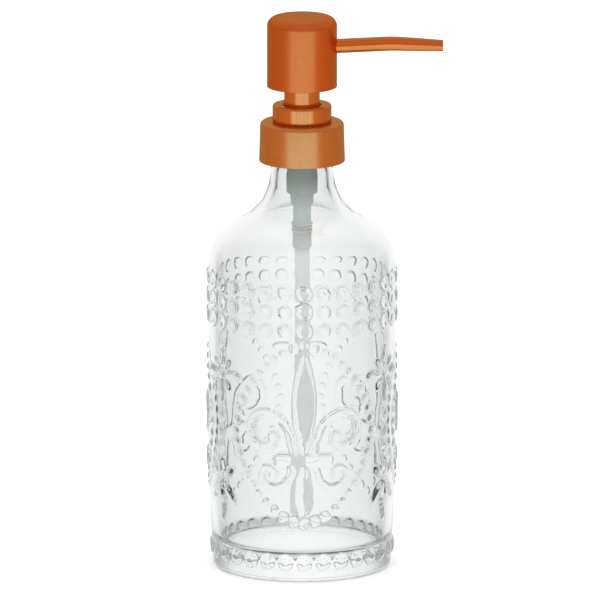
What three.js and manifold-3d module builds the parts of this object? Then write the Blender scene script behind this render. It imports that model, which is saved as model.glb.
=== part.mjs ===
// A soap pump dispenser: an embossed glass bottle closed by a screw-on lotion pump.
// Millimetres, +Z up. The origin is the middle of the bottle's foot and the spout points
// along +X. Radial sizes are built from the sleeve outwards and heights from the foot
// upwards, so a piece that fits on another takes its size from it.

import * as THREE from "three";
import { mergeVertices } from "three/addons/utils/BufferGeometryUtils.js";
import Module from "manifold-3d";

const wasm = await Module();
wasm.setup();

// ------------------------------------------------------------------ driving dimensions

// Bottle
const BODY_RADIUS = 39.5; // glass at the fullest part of the body
const BASE_TAPER = 2.0; // how much slimmer the body is at the foot
const TAPER_HEIGHT = 70; // height at which the body reaches its full radius
const HEEL_ROUND = 3.2;
const BODY_HEIGHT = 124; // foot to the start of the shoulder
const SHOULDER_RISE = 46; // start of the shoulder to the neck
const NECK_HEIGHT = 16; // neck root to lip
const GLASS_WALL = 3.8;
const BASE_THICKNESS = 9.5;
const FLOOR_ROUND = 6;
const NECK_WALL = 2.7;
const NECK_ROOT_BULGE = 0.75;
const NECK_ROOT_HEIGHT = 2.5;
const LIP_ROUND = 0.8;

// Relief on the bottle
const BEADS_PER_ROW = 30;
const BEAD_RADIUS = 3.2;
const BEAD_RISE = 1.25;
const TOP_ROW_COUNT = 3;
const ROW_SPACING = 8.1;
const FOOT_ROW_HEIGHT = 8.5;
const MOTIF_RISE = 1.2;
const MOTIF_COUNT = 3; // lilies round the bottle, with a star between each two
const MOTIF_SHARES = [0.19, 0.28, 0.44, 0.58, 0.7, 0.8, 0.91]; // facet rows of the panel
const MOTIF_POINTS = [
  // raised points as [facets from the lily's middle, share of the panel's height]
  [0, 0.28], // the lily's spear
  ...[0, 1, 2, 3].map((across) => [across, 0.44]), // its bar
  ...[0, 4].map((across) => [across, 0.58]), // the petal's foot and the curls
  ...[0, 3].map((across) => [across, 0.7]), // the petal and the tops of the curls
  [0, 0.8], // the petal's point
  ...[0.28, 0.44, 0.58, 0.8].map((share) => [10, share]), // the sprig, beads and star
];

// Screw thread between neck and closure
const THREAD_PITCH = 4.233;
const THREAD_HEIGHT = 1.15;
const THREAD_CLEARANCE = 0.35;
const THREAD_ROOT_HALF = 1.1;
const THREAD_CREST_HALF = 0.45;
const NECK_THREAD_TURNS = 1.25;
const CAP_THREAD_TURNS = 1.0;
const THREAD_START_DROP = 9.5; // lip down to the first turn on the neck

// Fits
const GAP = 0.15; // between pieces that seat on each other
const SLIDE = 0.3; // between pieces that slide or turn in each other
const BORE_CLEARANCE = 0.35; // pump housing in the glass neck

// Pump, outside
const STROKE = 12;
const SLEEVE_RADIUS = 7.7; // copper sleeve at its foot
const SLEEVE_TAPER = 0.25;
const SLEEVE_WALL = 0.45;
const RING_OVERHANG = 1.55; // ring beyond the guide's shoulder
const RING_WALL = 0.45;
const RING_HEIGHT = 7.15;
const RING_ROUND = 1.0;
const COLLAR_WALL = 0.5;
const COLLAR_HEIGHT = 17;
const COLLAR_FLARE = 0.5;
const COLLAR_ROUND = 1.8;
const COLLAR_EDGE = 0.15; // bevel round the collar's foot
const CAP_WALL = 2.9;
const CAP_TOP = 1.2;
const HEAD_OVERHANG = 2.3; // head beyond the ring
const HEAD_HEIGHT = 30.2;
const HEAD_WALL = 0.6;
const HEAD_ROUND = 5;
const HEAD_DOME = 0.3;
const HEAD_FOOT_CLEARANCE = 2.8; // head to collar when fully pressed
const SPOUT_RISE = 17.3; // spout axis above the head's foot
const SPOUT_RADIUS = 3.05;
const SPOUT_TIP_RADIUS = 2.45;
const SPOUT_BORE = 1.8;
const SPOUT_REACH = 59.3;
const SPOUT_BEND = 37.6;
const SPOUT_CLIMB = 0.048; // slope from the head to the bend
const SPOUT_FALL = 0.042; // slope from the bend to the tip
const SPOUT_BEND_REACH = 6; // how far the bend's curve runs to each side
const SPOUT_TIP_ROUND = 0.6;
const SPOUT_SHARES = [0, 0.2, 0.4, 0.6, 0.8, 1]; // outside facets from bend to tip
const SPOUT_BORE_SHARES = [1, 0.6, 0.3, 0]; // facets of its bore from tip to bend

// Pump, inside
const GASKET_THICKNESS = 1.0;
const FLANGE_THICKNESS = 1.2;
const FLANGE_OVERHANG = 0.4; // housing flange beyond the neck
const HOUSING_WALL = 0.7;
const GUIDE_WALL = 0.65;
const GUIDE_SHOULDER = 2.1; // guide's shoulder beyond the housing bore
const GUIDE_WEB = 0.75;
const CYLINDER_RADIUS = 5.6; // bore that the piston seal runs in
const CYLINDER_WALL = 1.0;
const SPRING_POCKET_RADIUS = 4.1;
const SPRING_POCKET_DEPTH = 6;
const BALL_BORE_RADIUS = 2.6;
const BALL_BORE_DEPTH = 10;
const INLET_WALL = 1.25;
const SEAT_THICKNESS = 3.2;
const SEAT_HOLE = 1.3;
const RIB_REACH = 0.75;
const RIB_HALF = 0.5; // half a rib's thickness
const SEAT_RIB_DROP = 0.2; // seat to the middle of its rib
const STEP_DROP = 1.1; // each outside step below the floor inside it
const STEP_CUT = 0.5; // slant on each outside step
const FUNNEL_DROP = 1.2; // guide's seat to the foot of the full barrel
const FUNNEL_HEIGHT = 4.3;
const SOCKET_DEPTH = 4.8;
const SOCKET_WALL = 0.7;
const DIP_TUBE_RADIUS = 3.15;
const DIP_TUBE_WALL = 0.65;
const DIP_TUBE_BOW = 1.9; // how far the foot of the tube leans towards -X
const DIP_TUBE_LEANS = [0, -0.1, 0.05, 0.75, 1]; // share of the bow, evenly down the tube
const DIP_TUBE_FLOOR_GAP = 12.5;
const INLET_BALL_RADIUS = 2.0;
const INLET_BALL_TRAVEL = 1.5;
const RETAINER_FLANGE = 1.0;
const RETAINER_BORE = 1.5;
const SPRING_TURNS = 6;
const SPRING_WIRE = 0.7;
const SPRING_RADIUS = 3.1;
const ROD_FLANGE = 1.0;
const ROD_GRIP = 8; // how far the rod reaches into the stem
const ROD_BORE = 0.8;
const SEAL_HEIGHT = 2.3;
const SEAL_LIP = 0.9;
const SEAL_HUB = 3.8;
const SEAL_CUT = 0.5; // slant on each lip
const SEAL_WAIST = 0.4; // how much slimmer the seal is between its lips
const STEM_RADIUS = 3.2;
const STEM_BORE = 1.7;
const STEM_SEAT_HOLE = 1.2;
const STEM_SEAT_HEIGHT = 3;
const OUTLET_BALL_RADIUS = 1.8;
const OUTLET_BALL_TRAVEL = 1.2;
const CORE_PLATE = 1.5;
const CORE_BOSS_RADIUS = 5.5;
const CORE_TOP_PLATE = 1.4;
const CORE_TOP_RISE = 1.6; // top plate above the start of the head's rounding
const SPOUT_SOCKET_WALL = 1.25;
const SPOUT_SOCKET_START = 4.5;
const SPOUT_SOCKET_LENGTH = 8.6;

// Facets round a full turn
const BOTTLE_SIDES = 2 * BEADS_PER_ROW;
const SHELL_SIDES = 36;
const CAVITY_SIDES = 30;
const INNER_SIDES = 20;
const BALL_SIDES = 8;
const THREAD_STEPS = 16;

// ------------------------------------------------------------------- derived sizes

// Radii, from the sleeve outwards
const guideBore = SLEEVE_RADIUS + SLIDE;
const guideRadius = guideBore + GUIDE_WALL;
const housingBore = guideRadius + GAP;
const housingRadius = housingBore + HOUSING_WALL;
const neckBore = housingRadius + BORE_CLEARANCE;
const neckRadius = neckBore + NECK_WALL;
const neckThreadRadius = neckRadius + THREAD_HEIGHT;
const capBore = neckThreadRadius + THREAD_CLEARANCE;
const capRadius = capBore + CAP_WALL;
const collarRadius = capRadius + GAP + COLLAR_WALL;
const guideShoulder = housingBore + GUIDE_SHOULDER;
const ringRadius = guideShoulder + RING_OVERHANG;
const guideTopRadius = ringRadius - RING_WALL - GAP;
const plateHole = guideShoulder + SLIDE;
const headRadius = ringRadius + HEAD_OVERHANG;
const headBore = headRadius - HEAD_WALL;
const spoutSocketBore = SPOUT_RADIUS + GAP;

// Heights, from the foot upwards
const neckRootZ = BODY_HEIGHT + SHOULDER_RISE;
const lipZ = neckRootZ + NECK_HEIGHT;
const gasketZ = lipZ + GAP;
const flangeZ = gasketZ + GASKET_THICKNESS + GAP;
const flangeTopZ = flangeZ + FLANGE_THICKNESS;
const plateZ = flangeTopZ + GAP;
const plateTopZ = plateZ + CAP_TOP;
const collarTopZ = plateTopZ + GAP + COLLAR_WALL;
const collarFootZ = collarTopZ - COLLAR_HEIGHT;
const ringZ = collarTopZ + GAP;
const ringTopZ = ringZ + RING_HEIGHT;
const headZ = collarTopZ + STROKE + HEAD_FOOT_CLEARANCE;
const headTopZ = headZ + HEAD_HEIGHT;
const spoutZ = headZ + SPOUT_RISE;
const corePlateZ = ringTopZ + STROKE + 2 * SLIDE;
const sleeveZ = collarTopZ + SLIDE;
const sleeveTopZ = corePlateZ - GAP;
const webTopZ = sleeveZ - STROKE - SLIDE;
const guideZ = webTopZ - GUIDE_WEB;
const cylinderTopZ = guideZ - GAP;
const sealTopZ = cylinderTopZ - SEAL_HEIGHT / 2;
const sealZ = sealTopZ - SEAL_HEIGHT;
const rodZ = sealZ - GAP - ROD_FLANGE;
const cylinderZ = rodZ - STROKE - SLIDE;
const springPocketZ = cylinderZ - SPRING_POCKET_DEPTH;
const inletSeatZ = springPocketZ - BALL_BORE_DEPTH;
const socketTopZ = inletSeatZ - SEAT_THICKNESS;
const socketZ = socketTopZ - SOCKET_DEPTH;
const retainerZ = springPocketZ + GAP;
const springZ = retainerZ + RETAINER_FLANGE + GAP;
const springTopZ = rodZ - GAP;
const stemTopZ = corePlateZ + STEM_SEAT_HEIGHT / 2;

// -------------------------------------------------------------------- shape helpers

// A body of revolution about Z from a profile of [radius, height] points.
function turned(profile, sides) {
  const outline = profile.map(([radius, height]) => new THREE.Vector2(radius, height));
  return new THREE.LatheGeometry(outline, sides).rotateX(Math.PI / 2);
}

// Repeats a ring profile's first point, so that it closes on itself.
function loop(profile) {
  return [...profile, profile[0]];
}

// Points of a quarter round from one side of a corner to the other, angles in degrees.
function arc(centreRadius, centreHeight, radius, from, to, steps) {
  return Array.from({ length: steps + 1 }, (_, step) => {
    const angle = THREE.MathUtils.degToRad(from + ((to - from) * step) / steps);
    const across = Math.max(centreRadius + radius * Math.cos(angle), 0);
    return [across, centreHeight + radius * Math.sin(angle)];
  });
}

// Moves every point of a geometry by a function of the point.
function reshape(geometry, move) {
  const place = geometry.attributes.position;
  const point = new THREE.Vector3();
  for (let i = 0; i < place.count; i += 1) {
    point.fromBufferAttribute(place, i);
    move(point);
    place.setXYZ(i, point.x, point.y, point.z);
  }
  return geometry;
}

// Six times the volume that a triangle spans with the origin.
function spanned(place, a, b, c) {
  const corners = [a, b, c].map((i) => new THREE.Vector3().fromBufferAttribute(place, i));
  return corners[0].dot(corners[1].cross(corners[2]));
}

// Joins shared points, drops empty triangles and turns the faces outwards.
function sewn(geometry) {
  geometry.deleteAttribute("normal");
  geometry.deleteAttribute("uv");
  const body = mergeVertices(geometry);
  const place = body.attributes.position;
  const faces = [];
  let volume = 0;
  for (let i = 0; i < body.index.count; i += 3) {
    const [a, b, c] = [0, 1, 2].map((k) => body.index.getX(i + k));
    if (a !== b && b !== c && c !== a) {
      faces.push([a, b, c]);
      volume += spanned(place, a, b, c);
    }
  }
  body.setIndex((volume < 0 ? faces.map((face) => face.reverse()) : faces).flat());
  return body;
}

// A geometry as a solid that can be joined and cut.
function solid(geometry) {
  const body = sewn(geometry);
  const vertProperties = new Float32Array(body.attributes.position.array);
  const triVerts = new Uint32Array(body.index.array);
  return new wasm.Manifold(new wasm.Mesh({ numProp: 3, vertProperties, triVerts }));
}

// A joined or cut solid as a geometry.
function geometryOf(body) {
  const { vertProperties, triVerts } = body.getMesh();
  const geometry = new THREE.BufferGeometry();
  geometry.setAttribute("position", new THREE.BufferAttribute(vertProperties, 3));
  geometry.setIndex(new THREE.BufferAttribute(triVerts, 1));
  return geometry;
}

// A round bar along X.
function barAlongX(radius, fromX, toX, height) {
  const bar = new THREE.CylinderGeometry(radius, radius, toX - fromX, INNER_SIDES);
  return bar.rotateZ(Math.PI / 2).translate((fromX + toX) / 2, 0, height);
}

// A screw ridge whose section narrows from root to crest.
function ridge(rootRadius, crestRadius, startZ, turns) {
  const steps = Math.round(turns * THREAD_STEPS);
  return reshape(new THREE.BoxGeometry(1, 1, 1, steps, 1, 1), (point) => {
    const angle = (point.x + 0.5) * turns * 2 * Math.PI;
    const share = point.z + 0.5;
    const radius = THREE.MathUtils.lerp(rootRadius, crestRadius, share);
    const half = THREE.MathUtils.lerp(THREAD_ROOT_HALF, THREAD_CREST_HALF, share);
    const height = startZ + (THREAD_PITCH * angle) / (2 * Math.PI) + 2 * half * point.y;
    point.set(radius * Math.cos(angle), radius * Math.sin(angle), height);
  });
}

// ---------------------------------------------------------------------- materials

const copper = { color: 0xb0693c, roughness: 0.32, metalness: 1 };
const brightCopper = { color: 0xa85f38, roughness: 0.16, metalness: 1 };
const glass = { color: 0xdfe5e3, roughness: 0.05, metalness: 0 };
const naturalPlastic = { color: 0xb9beb6, roughness: 0.45, metalness: 0 };
const milkyPlastic = { color: 0xd9ddd8, roughness: 0.4, metalness: 0 };
const whitePlastic = { color: 0xe4e4df, roughness: 0.5, metalness: 0 };
const blackRubber = { color: 0x3a3b3b, roughness: 0.8, metalness: 0 };
const steel = { color: 0xb8bbbd, roughness: 0.25, metalness: 1 };

function piece(name, geometry, finish) {
  const mesh = new THREE.Mesh(sewn(geometry), new THREE.MeshStandardMaterial(finish));
  mesh.name = name;
  return mesh;
}

// ------------------------------------------------------------------------- bottle

const topRowZ = BODY_HEIGHT + 0.5;
const panelFootZ = FOOT_ROW_HEIGHT + BEAD_RADIUS;
const panelTopZ = topRowZ - (TOP_ROW_COUNT - 1) * ROW_SPACING - BEAD_RADIUS;

// Outside radius of the plain glass below the shoulder.
function bodyRadiusAt(height) {
  const share = THREE.MathUtils.clamp(height / TAPER_HEIGHT, 0, 1);
  return BODY_RADIUS - BASE_TAPER * (1 - share) ** 2;
}

// The shoulder's outside curve, from the body to the neck root.
function shoulderCurve() {
  const width = BODY_RADIUS - neckRadius - NECK_ROOT_BULGE;
  const at = (inward, up) => {
    return new THREE.Vector2(BODY_RADIUS - inward * width, BODY_HEIGHT + up * SHOULDER_RISE);
  };
  const [start, turning, end] = [at(0, 0.01), at(0.305, 0.463), at(1, 1)];
  const curve = new THREE.CurvePath();
  curve.add(new THREE.CubicBezierCurve(start, at(0, 0.3), at(0.08, 0.37), turning));
  curve.add(new THREE.CubicBezierCurve(turning, at(0.56, 0.574), at(0.962, 0.613), end));
  return curve;
}

// Points of the shoulder at some depth inside the glass.
function shoulderProfile(depth, steps) {
  const curve = shoulderCurve();
  return Array.from({ length: steps + 1 }, (_, step) => {
    const point = curve.getPoint(step / steps);
    const along = curve.getTangent(step / steps);
    return [point.x - depth * along.y, point.y + depth * along.x];
  });
}

// Bead rows from the foot up.
function rowHeights() {
  const rows = Array.from({ length: TOP_ROW_COUNT }, (_, row) => topRowZ - row * ROW_SPACING);
  return [FOOT_ROW_HEIGHT, ...rows.reverse()];
}

// Height of a place in the panel between the bead rows, from 0 at its foot to 1 at its top.
function panelZ(share) {
  return THREE.MathUtils.lerp(panelFootZ, panelTopZ, share);
}

function bottleOutside() {
  const bands = rowHeights().flatMap((row) => [row - BEAD_RADIUS, row, row + BEAD_RADIUS]);
  const heights = [...bands, ...MOTIF_SHARES.map(panelZ)].sort((low, high) => low - high);
  const shoulder = shoulderProfile(0, 9).filter(([, height]) => height > heights.at(-1) + 1);
  return turned(
    [
      [0, 0],
      ...arc(bodyRadiusAt(0) - HEEL_ROUND, HEEL_ROUND, HEEL_ROUND, -90, 0, 3),
      ...heights.map((height) => [bodyRadiusAt(height), height]),
      ...shoulder,
      [neckRadius + NECK_ROOT_BULGE, neckRootZ + NECK_ROOT_HEIGHT],
      [neckRadius, neckRootZ + NECK_ROOT_HEIGHT + NECK_ROOT_BULGE],
      [neckRadius, lipZ - LIP_ROUND],
      [neckRadius - LIP_ROUND, lipZ],
      [0, lipZ],
    ],
    BOTTLE_SIDES,
  );
}

function bottleCavity() {
  const shoulder = shoulderProfile(GLASS_WALL, 8).filter(([radius]) => radius > neckBore + 0.2);
  const floorRadius = bodyRadiusAt(BASE_THICKNESS + FLOOR_ROUND) - GLASS_WALL;
  const floorCentre = BASE_THICKNESS + FLOOR_ROUND;
  return turned(
    [
      [0, BASE_THICKNESS],
      ...arc(floorRadius - FLOOR_ROUND, floorCentre, FLOOR_ROUND, -90, 0, 3),
      [bodyRadiusAt(TAPER_HEIGHT / 2) - GLASS_WALL, TAPER_HEIGHT / 2],
      [BODY_RADIUS - GLASS_WALL, TAPER_HEIGHT],
      ...shoulder,
      [neckBore, neckRootZ],
      [neckBore, lipZ + 1],
      [0, lipZ + 1],
    ],
    CAVITY_SIDES,
  );
}

// Lifts the outside points that lie in the middle of a bead or of a motif's raised part.
function raiseRelief(geometry) {
  const columns = BOTTLE_SIDES / MOTIF_COUNT;
  const rows = rowHeights();
  return reshape(geometry, (point) => {
    const radius = Math.hypot(point.x, point.y);
    const turn = Math.atan2(point.x, -point.y) / (2 * Math.PI);
    const column = Math.round(turn * BOTTLE_SIDES);
    const isAt = (height) => Math.abs(point.z - height) < 0.01;
    const fromLily = Math.abs(column - columns * Math.round(column / columns));
    const onMotif = MOTIF_POINTS.some(([across, share]) => {
      return across === fromLily && isAt(panelZ(share));
    });
    const onBead = column % 2 === 0 && rows.some(isAt);
    if ((onBead || onMotif) && radius > bodyRadiusAt(point.z) - 0.1) {
      const lift = 1 + (onBead ? BEAD_RISE : MOTIF_RISE) / radius;
      point.x *= lift;
      point.y *= lift;
    }
  });
}

function glassBottle() {
  const thread = ridge(
    neckRadius - THREAD_CLEARANCE,
    neckThreadRadius,
    lipZ - THREAD_START_DROP,
    NECK_THREAD_TURNS,
  );
  const outside = solid(raiseRelief(bottleOutside())).add(solid(thread));
  return geometryOf(outside.subtract(solid(bottleCavity())));
}

// ------------------------------------------------------------------ closure and ring

function neckGasket() {
  const inner = housingRadius + GAP;
  const outer = neckRadius + SLIDE;
  const top = gasketZ + GASKET_THICKNESS;
  return turned(loop([[inner, gasketZ], [outer, gasketZ], [outer, top], [inner, top]]), INNER_SIDES);
}

function closureCap() {
  const foot = collarFootZ + SLIDE;
  const cup = turned(
    loop([
      [capBore, foot],
      [capRadius + COLLAR_FLARE, foot],
      [capRadius, plateTopZ - COLLAR_ROUND],
      [capRadius - COLLAR_ROUND, plateTopZ],
      [plateHole, plateTopZ],
      [plateHole, plateZ],
      [capBore, plateZ],
    ]),
    SHELL_SIDES,
  );
  const thread = ridge(
    capBore + THREAD_CLEARANCE,
    neckRadius + THREAD_CLEARANCE,
    lipZ - THREAD_START_DROP + THREAD_PITCH / 2,
    CAP_THREAD_TURNS,
  );
  return geometryOf(solid(cup).add(solid(thread)));
}

function collarShell() {
  const inner = collarRadius - COLLAR_WALL;
  const innerRound = COLLAR_ROUND - COLLAR_WALL;
  const foot = collarRadius + COLLAR_FLARE;
  return turned(
    loop([
      [foot - COLLAR_WALL, collarFootZ],
      [foot - COLLAR_EDGE, collarFootZ],
      [foot, collarFootZ + 2 * COLLAR_EDGE],
      ...arc(collarRadius - COLLAR_ROUND, collarTopZ - COLLAR_ROUND, COLLAR_ROUND, 0, 90, 3),
      [plateHole, collarTopZ],
      [plateHole, collarTopZ - COLLAR_WALL],
      ...arc(inner - innerRound, collarTopZ - COLLAR_ROUND, innerRound, 90, 0, 2),
    ]),
    SHELL_SIDES,
  );
}

function ringShell() {
  const inner = ringRadius - RING_WALL;
  return turned(
    loop([
      [inner, ringZ],
      [ringRadius, ringZ],
      ...arc(ringRadius - RING_ROUND, ringTopZ - RING_ROUND, RING_ROUND, 0, 90, 2),
      [guideBore, ringTopZ],
      [guideBore, ringTopZ - RING_WALL],
      [inner - RING_ROUND / 2, ringTopZ - RING_WALL],
      [inner, ringTopZ - RING_ROUND],
    ]),
    SHELL_SIDES,
  );
}

// ---------------------------------------------------------------- housing and guide

function stemGuide() {
  const stemHole = STEM_RADIUS + SLIDE;
  const top = ringTopZ - RING_WALL - GAP;
  return turned(
    loop([
      [stemHole, guideZ],
      [guideRadius, guideZ],
      [guideRadius, plateZ],
      [guideShoulder, plateZ],
      [guideShoulder, ringZ],
      [guideTopRadius, ringZ],
      [guideTopRadius, top - RING_ROUND],
      [guideTopRadius - RING_ROUND, top],
      [guideBore, top],
      [guideBore, webTopZ],
      [stemHole, webTopZ],
    ]),
    SHELL_SIDES,
  );
}

// A rib round the housing, from the radius below it to the radius above it.
function ribProfile(below, above, height) {
  return [
    [below, height - RIB_HALF],
    [below + RIB_REACH, height - RIB_HALF],
    [below + RIB_REACH, height + RIB_HALF],
    [above, height + RIB_HALF],
  ];
}

function pumpHousing() {
  const flange = neckRadius + FLANGE_OVERHANG;
  const cylinder = CYLINDER_RADIUS + CYLINDER_WALL;
  const pocket = SPRING_POCKET_RADIUS + CYLINDER_WALL;
  const inlet = BALL_BORE_RADIUS + INLET_WALL;
  const socketBore = DIP_TUBE_RADIUS + GAP;
  const socket = socketBore + SOCKET_WALL;
  const barrelZ = cylinderTopZ - HOUSING_WALL - GAP - FUNNEL_DROP;
  const outside = [
    [socketBore, socketZ],
    [socket, socketZ],
    ...ribProfile(socket, inlet, socketTopZ),
    ...ribProfile(inlet, inlet, inletSeatZ - SEAT_RIB_DROP),
    [inlet, springPocketZ - STEP_CUT],
    [pocket - STEP_CUT, springPocketZ - STEP_CUT],
    [pocket, cylinderZ - STEP_DROP],
    [cylinder - STEP_CUT, cylinderZ - STEP_DROP],
    [cylinder, cylinderZ - STEP_DROP + STEP_CUT],
    [cylinder, barrelZ - FUNNEL_HEIGHT],
    [housingRadius, barrelZ],
    [housingRadius, flangeZ],
    [flange, flangeZ],
    [flange, flangeTopZ],
  ];
  const inside = [
    [housingBore, flangeTopZ],
    [housingBore, cylinderTopZ],
    [CYLINDER_RADIUS, cylinderTopZ],
    [CYLINDER_RADIUS, cylinderZ],
    [SPRING_POCKET_RADIUS, cylinderZ],
    [SPRING_POCKET_RADIUS, springPocketZ],
    [BALL_BORE_RADIUS, springPocketZ],
    [BALL_BORE_RADIUS, inletSeatZ],
    [SEAT_HOLE, inletSeatZ],
    [SEAT_HOLE, socketTopZ],
    [socketBore, socketTopZ],
  ];
  return turned(loop([...outside, ...inside]), INNER_SIDES);
}

function dipTube() {
  const length = socketTopZ - GAP - BASE_THICKNESS - DIP_TUBE_FLOOR_GAP;
  const stations = DIP_TUBE_LEANS.map((lean, k) => {
    const height = socketTopZ - GAP - (length * k) / (DIP_TUBE_LEANS.length - 1);
    return new THREE.Vector3(-DIP_TUBE_BOW * lean, 0, height);
  });
  const bore = DIP_TUBE_RADIUS - DIP_TUBE_WALL;
  const section = new THREE.Shape().absarc(0, 0, DIP_TUBE_RADIUS, 0, 2 * Math.PI);
  section.holes.push(new THREE.Path().absarc(0, 0, bore, 0, 2 * Math.PI));
  return new THREE.ExtrudeGeometry(section, {
    extrudePath: new THREE.CatmullRomCurve3(stations),
    steps: 10,
    curveSegments: 5,
  });
}

function ballRetainer() {
  const seatHeight = Math.sqrt(INLET_BALL_RADIUS ** 2 - SEAT_HOLE ** 2);
  const stop = inletSeatZ + seatHeight + INLET_BALL_RADIUS + INLET_BALL_TRAVEL + 2 * GAP;
  const skirt = BALL_BORE_RADIUS - GAP;
  return turned(
    loop([
      [RETAINER_BORE, stop],
      [skirt, stop],
      [skirt, retainerZ],
      [SPRING_POCKET_RADIUS - GAP, retainerZ],
      [SPRING_POCKET_RADIUS - GAP, retainerZ + RETAINER_FLANGE],
      [RETAINER_BORE, retainerZ + RETAINER_FLANGE],
    ]),
    INNER_SIDES,
  );
}

// ------------------------------------------------------------- plunger and its spring

function returnSpring() {
  const wire = SPRING_WIRE / 2;
  const rise = springTopZ - springZ - SPRING_WIRE;
  const perTurn = 9;
  const points = Array.from({ length: SPRING_TURNS * perTurn + 1 }, (_, step) => {
    const angle = (2 * Math.PI * step) / perTurn;
    const height = springZ + wire + (rise * step) / (SPRING_TURNS * perTurn);
    return new THREE.Vector3(
      SPRING_RADIUS * Math.cos(angle),
      SPRING_RADIUS * Math.sin(angle),
      height,
    );
  });
  const section = new THREE.Shape().absarc(0, 0, wire * 0.98, 0, 2 * Math.PI);
  return new THREE.ExtrudeGeometry(section, {
    extrudePath: new THREE.CatmullRomCurve3(points),
    steps: SPRING_TURNS * perTurn,
    curveSegments: 3,
  });
}

function pistonRod() {
  const neck = STEM_BORE - GAP;
  const flangeRadius = SPRING_POCKET_RADIUS - 2 * GAP;
  const top = sealTopZ + ROD_GRIP;
  return turned(
    loop([
      [ROD_BORE, rodZ],
      [flangeRadius, rodZ],
      [flangeRadius, rodZ + ROD_FLANGE],
      [neck, rodZ + ROD_FLANGE],
      [neck, top],
      [ROD_BORE, top],
    ]),
    INNER_SIDES,
  );
}

function pistonSeal() {
  const lip = CYLINDER_RADIUS - GAP;
  return turned(
    loop([
      [STEM_BORE, sealZ],
      [SEAL_HUB, sealZ],
      [lip - SEAL_CUT, sealZ],
      [lip, sealZ + SEAL_LIP / 2],
      [lip - SEAL_WAIST, sealZ + SEAL_LIP],
      [lip - SEAL_WAIST, sealTopZ - SEAL_LIP],
      [lip, sealTopZ - SEAL_LIP / 2],
      [lip - SEAL_CUT, sealTopZ],
      [SEAL_HUB, sealTopZ],
      [STEM_BORE, sealTopZ],
    ]),
    INNER_SIDES,
  );
}

function stem() {
  return turned(
    loop([
      [STEM_BORE, sealTopZ + GAP],
      [STEM_RADIUS, sealTopZ + GAP],
      [STEM_RADIUS, stemTopZ],
      [STEM_SEAT_HOLE, stemTopZ],
      [STEM_SEAT_HOLE, stemTopZ - STEM_SEAT_HEIGHT],
      [STEM_BORE, stemTopZ - STEM_SEAT_HEIGHT],
    ]),
    INNER_SIDES,
  );
}

function ball(radius, seatHole, seatZ) {
  const rest = Math.sqrt(radius ** 2 - seatHole ** 2) + GAP;
  return new THREE.SphereGeometry(radius, BALL_SIDES, BALL_SIDES - 2).translate(0, 0, seatZ + rest);
}

// --------------------------------------------------------------------------- head

// Height of the spout's axis at a distance from the head's axis.
function spoutAxisZ(x) {
  const blend = SPOUT_BEND_REACH;
  const climb = SPOUT_CLIMB * Math.max(x - headRadius, 0);
  const past = THREE.MathUtils.clamp((x - SPOUT_BEND + blend) / (2 * blend), 0, 1);
  const turning = (SPOUT_CLIMB + SPOUT_FALL) * blend * past ** 2;
  const beyond = (SPOUT_CLIMB + SPOUT_FALL) * Math.max(x - SPOUT_BEND - blend, 0);
  return spoutZ + climb - turning - beyond;
}

function spoutTube() {
  const start = SPOUT_SOCKET_START + 2 * GAP;
  const lastStraight = SPOUT_BEND - SPOUT_BEND_REACH;
  const tip = SPOUT_REACH - SPOUT_TIP_ROUND;
  const at = (share) => THREE.MathUtils.lerp(lastStraight, tip, share);
  const width = (share) => THREE.MathUtils.lerp(SPOUT_RADIUS, SPOUT_TIP_RADIUS, share ** 2);
  const outside = SPOUT_SHARES.map((share) => [width(share), at(share)]);
  const inside = SPOUT_BORE_SHARES.map((share) => [SPOUT_BORE, at(share)]);
  const tube = turned(
    loop([
      [SPOUT_BORE, start],
      [SPOUT_RADIUS, start],
      [SPOUT_RADIUS, headRadius],
      ...outside,
      [SPOUT_TIP_RADIUS - SPOUT_TIP_ROUND / 2, SPOUT_REACH],
      [SPOUT_BORE, SPOUT_REACH],
      ...inside,
      [SPOUT_BORE, headRadius],
    ]),
    INNER_SIDES,
  );
  return reshape(tube.rotateY(Math.PI / 2), (point) => {
    point.z += spoutAxisZ(point.x);
  });
}

function headShell() {
  const fillet = headTopZ - HEAD_DOME - HEAD_ROUND;
  const shell = turned(
    [
      [0, headTopZ - HEAD_WALL],
      ...arc(headRadius - HEAD_ROUND, fillet, HEAD_ROUND - HEAD_WALL, 90, 0, 3),
      [headBore, headZ],
      [headRadius, headZ],
      ...arc(headRadius - HEAD_ROUND, fillet, HEAD_ROUND, 0, 90, 5),
      [0, headTopZ],
    ],
    SHELL_SIDES,
  );
  const hole = barAlongX(spoutSocketBore, headBore - 3, headRadius + 1, spoutZ);
  return geometryOf(solid(shell).subtract(solid(hole)));
}

function stemSleeve() {
  const top = SLEEVE_RADIUS - SLEEVE_TAPER;
  return turned(
    loop([
      [top - SLEEVE_WALL, sleeveZ],
      [SLEEVE_RADIUS, sleeveZ],
      [top, headZ],
      [top, sleeveTopZ],
      [top - SLEEVE_WALL, sleeveTopZ],
    ]),
    SHELL_SIDES,
  );
}

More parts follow.
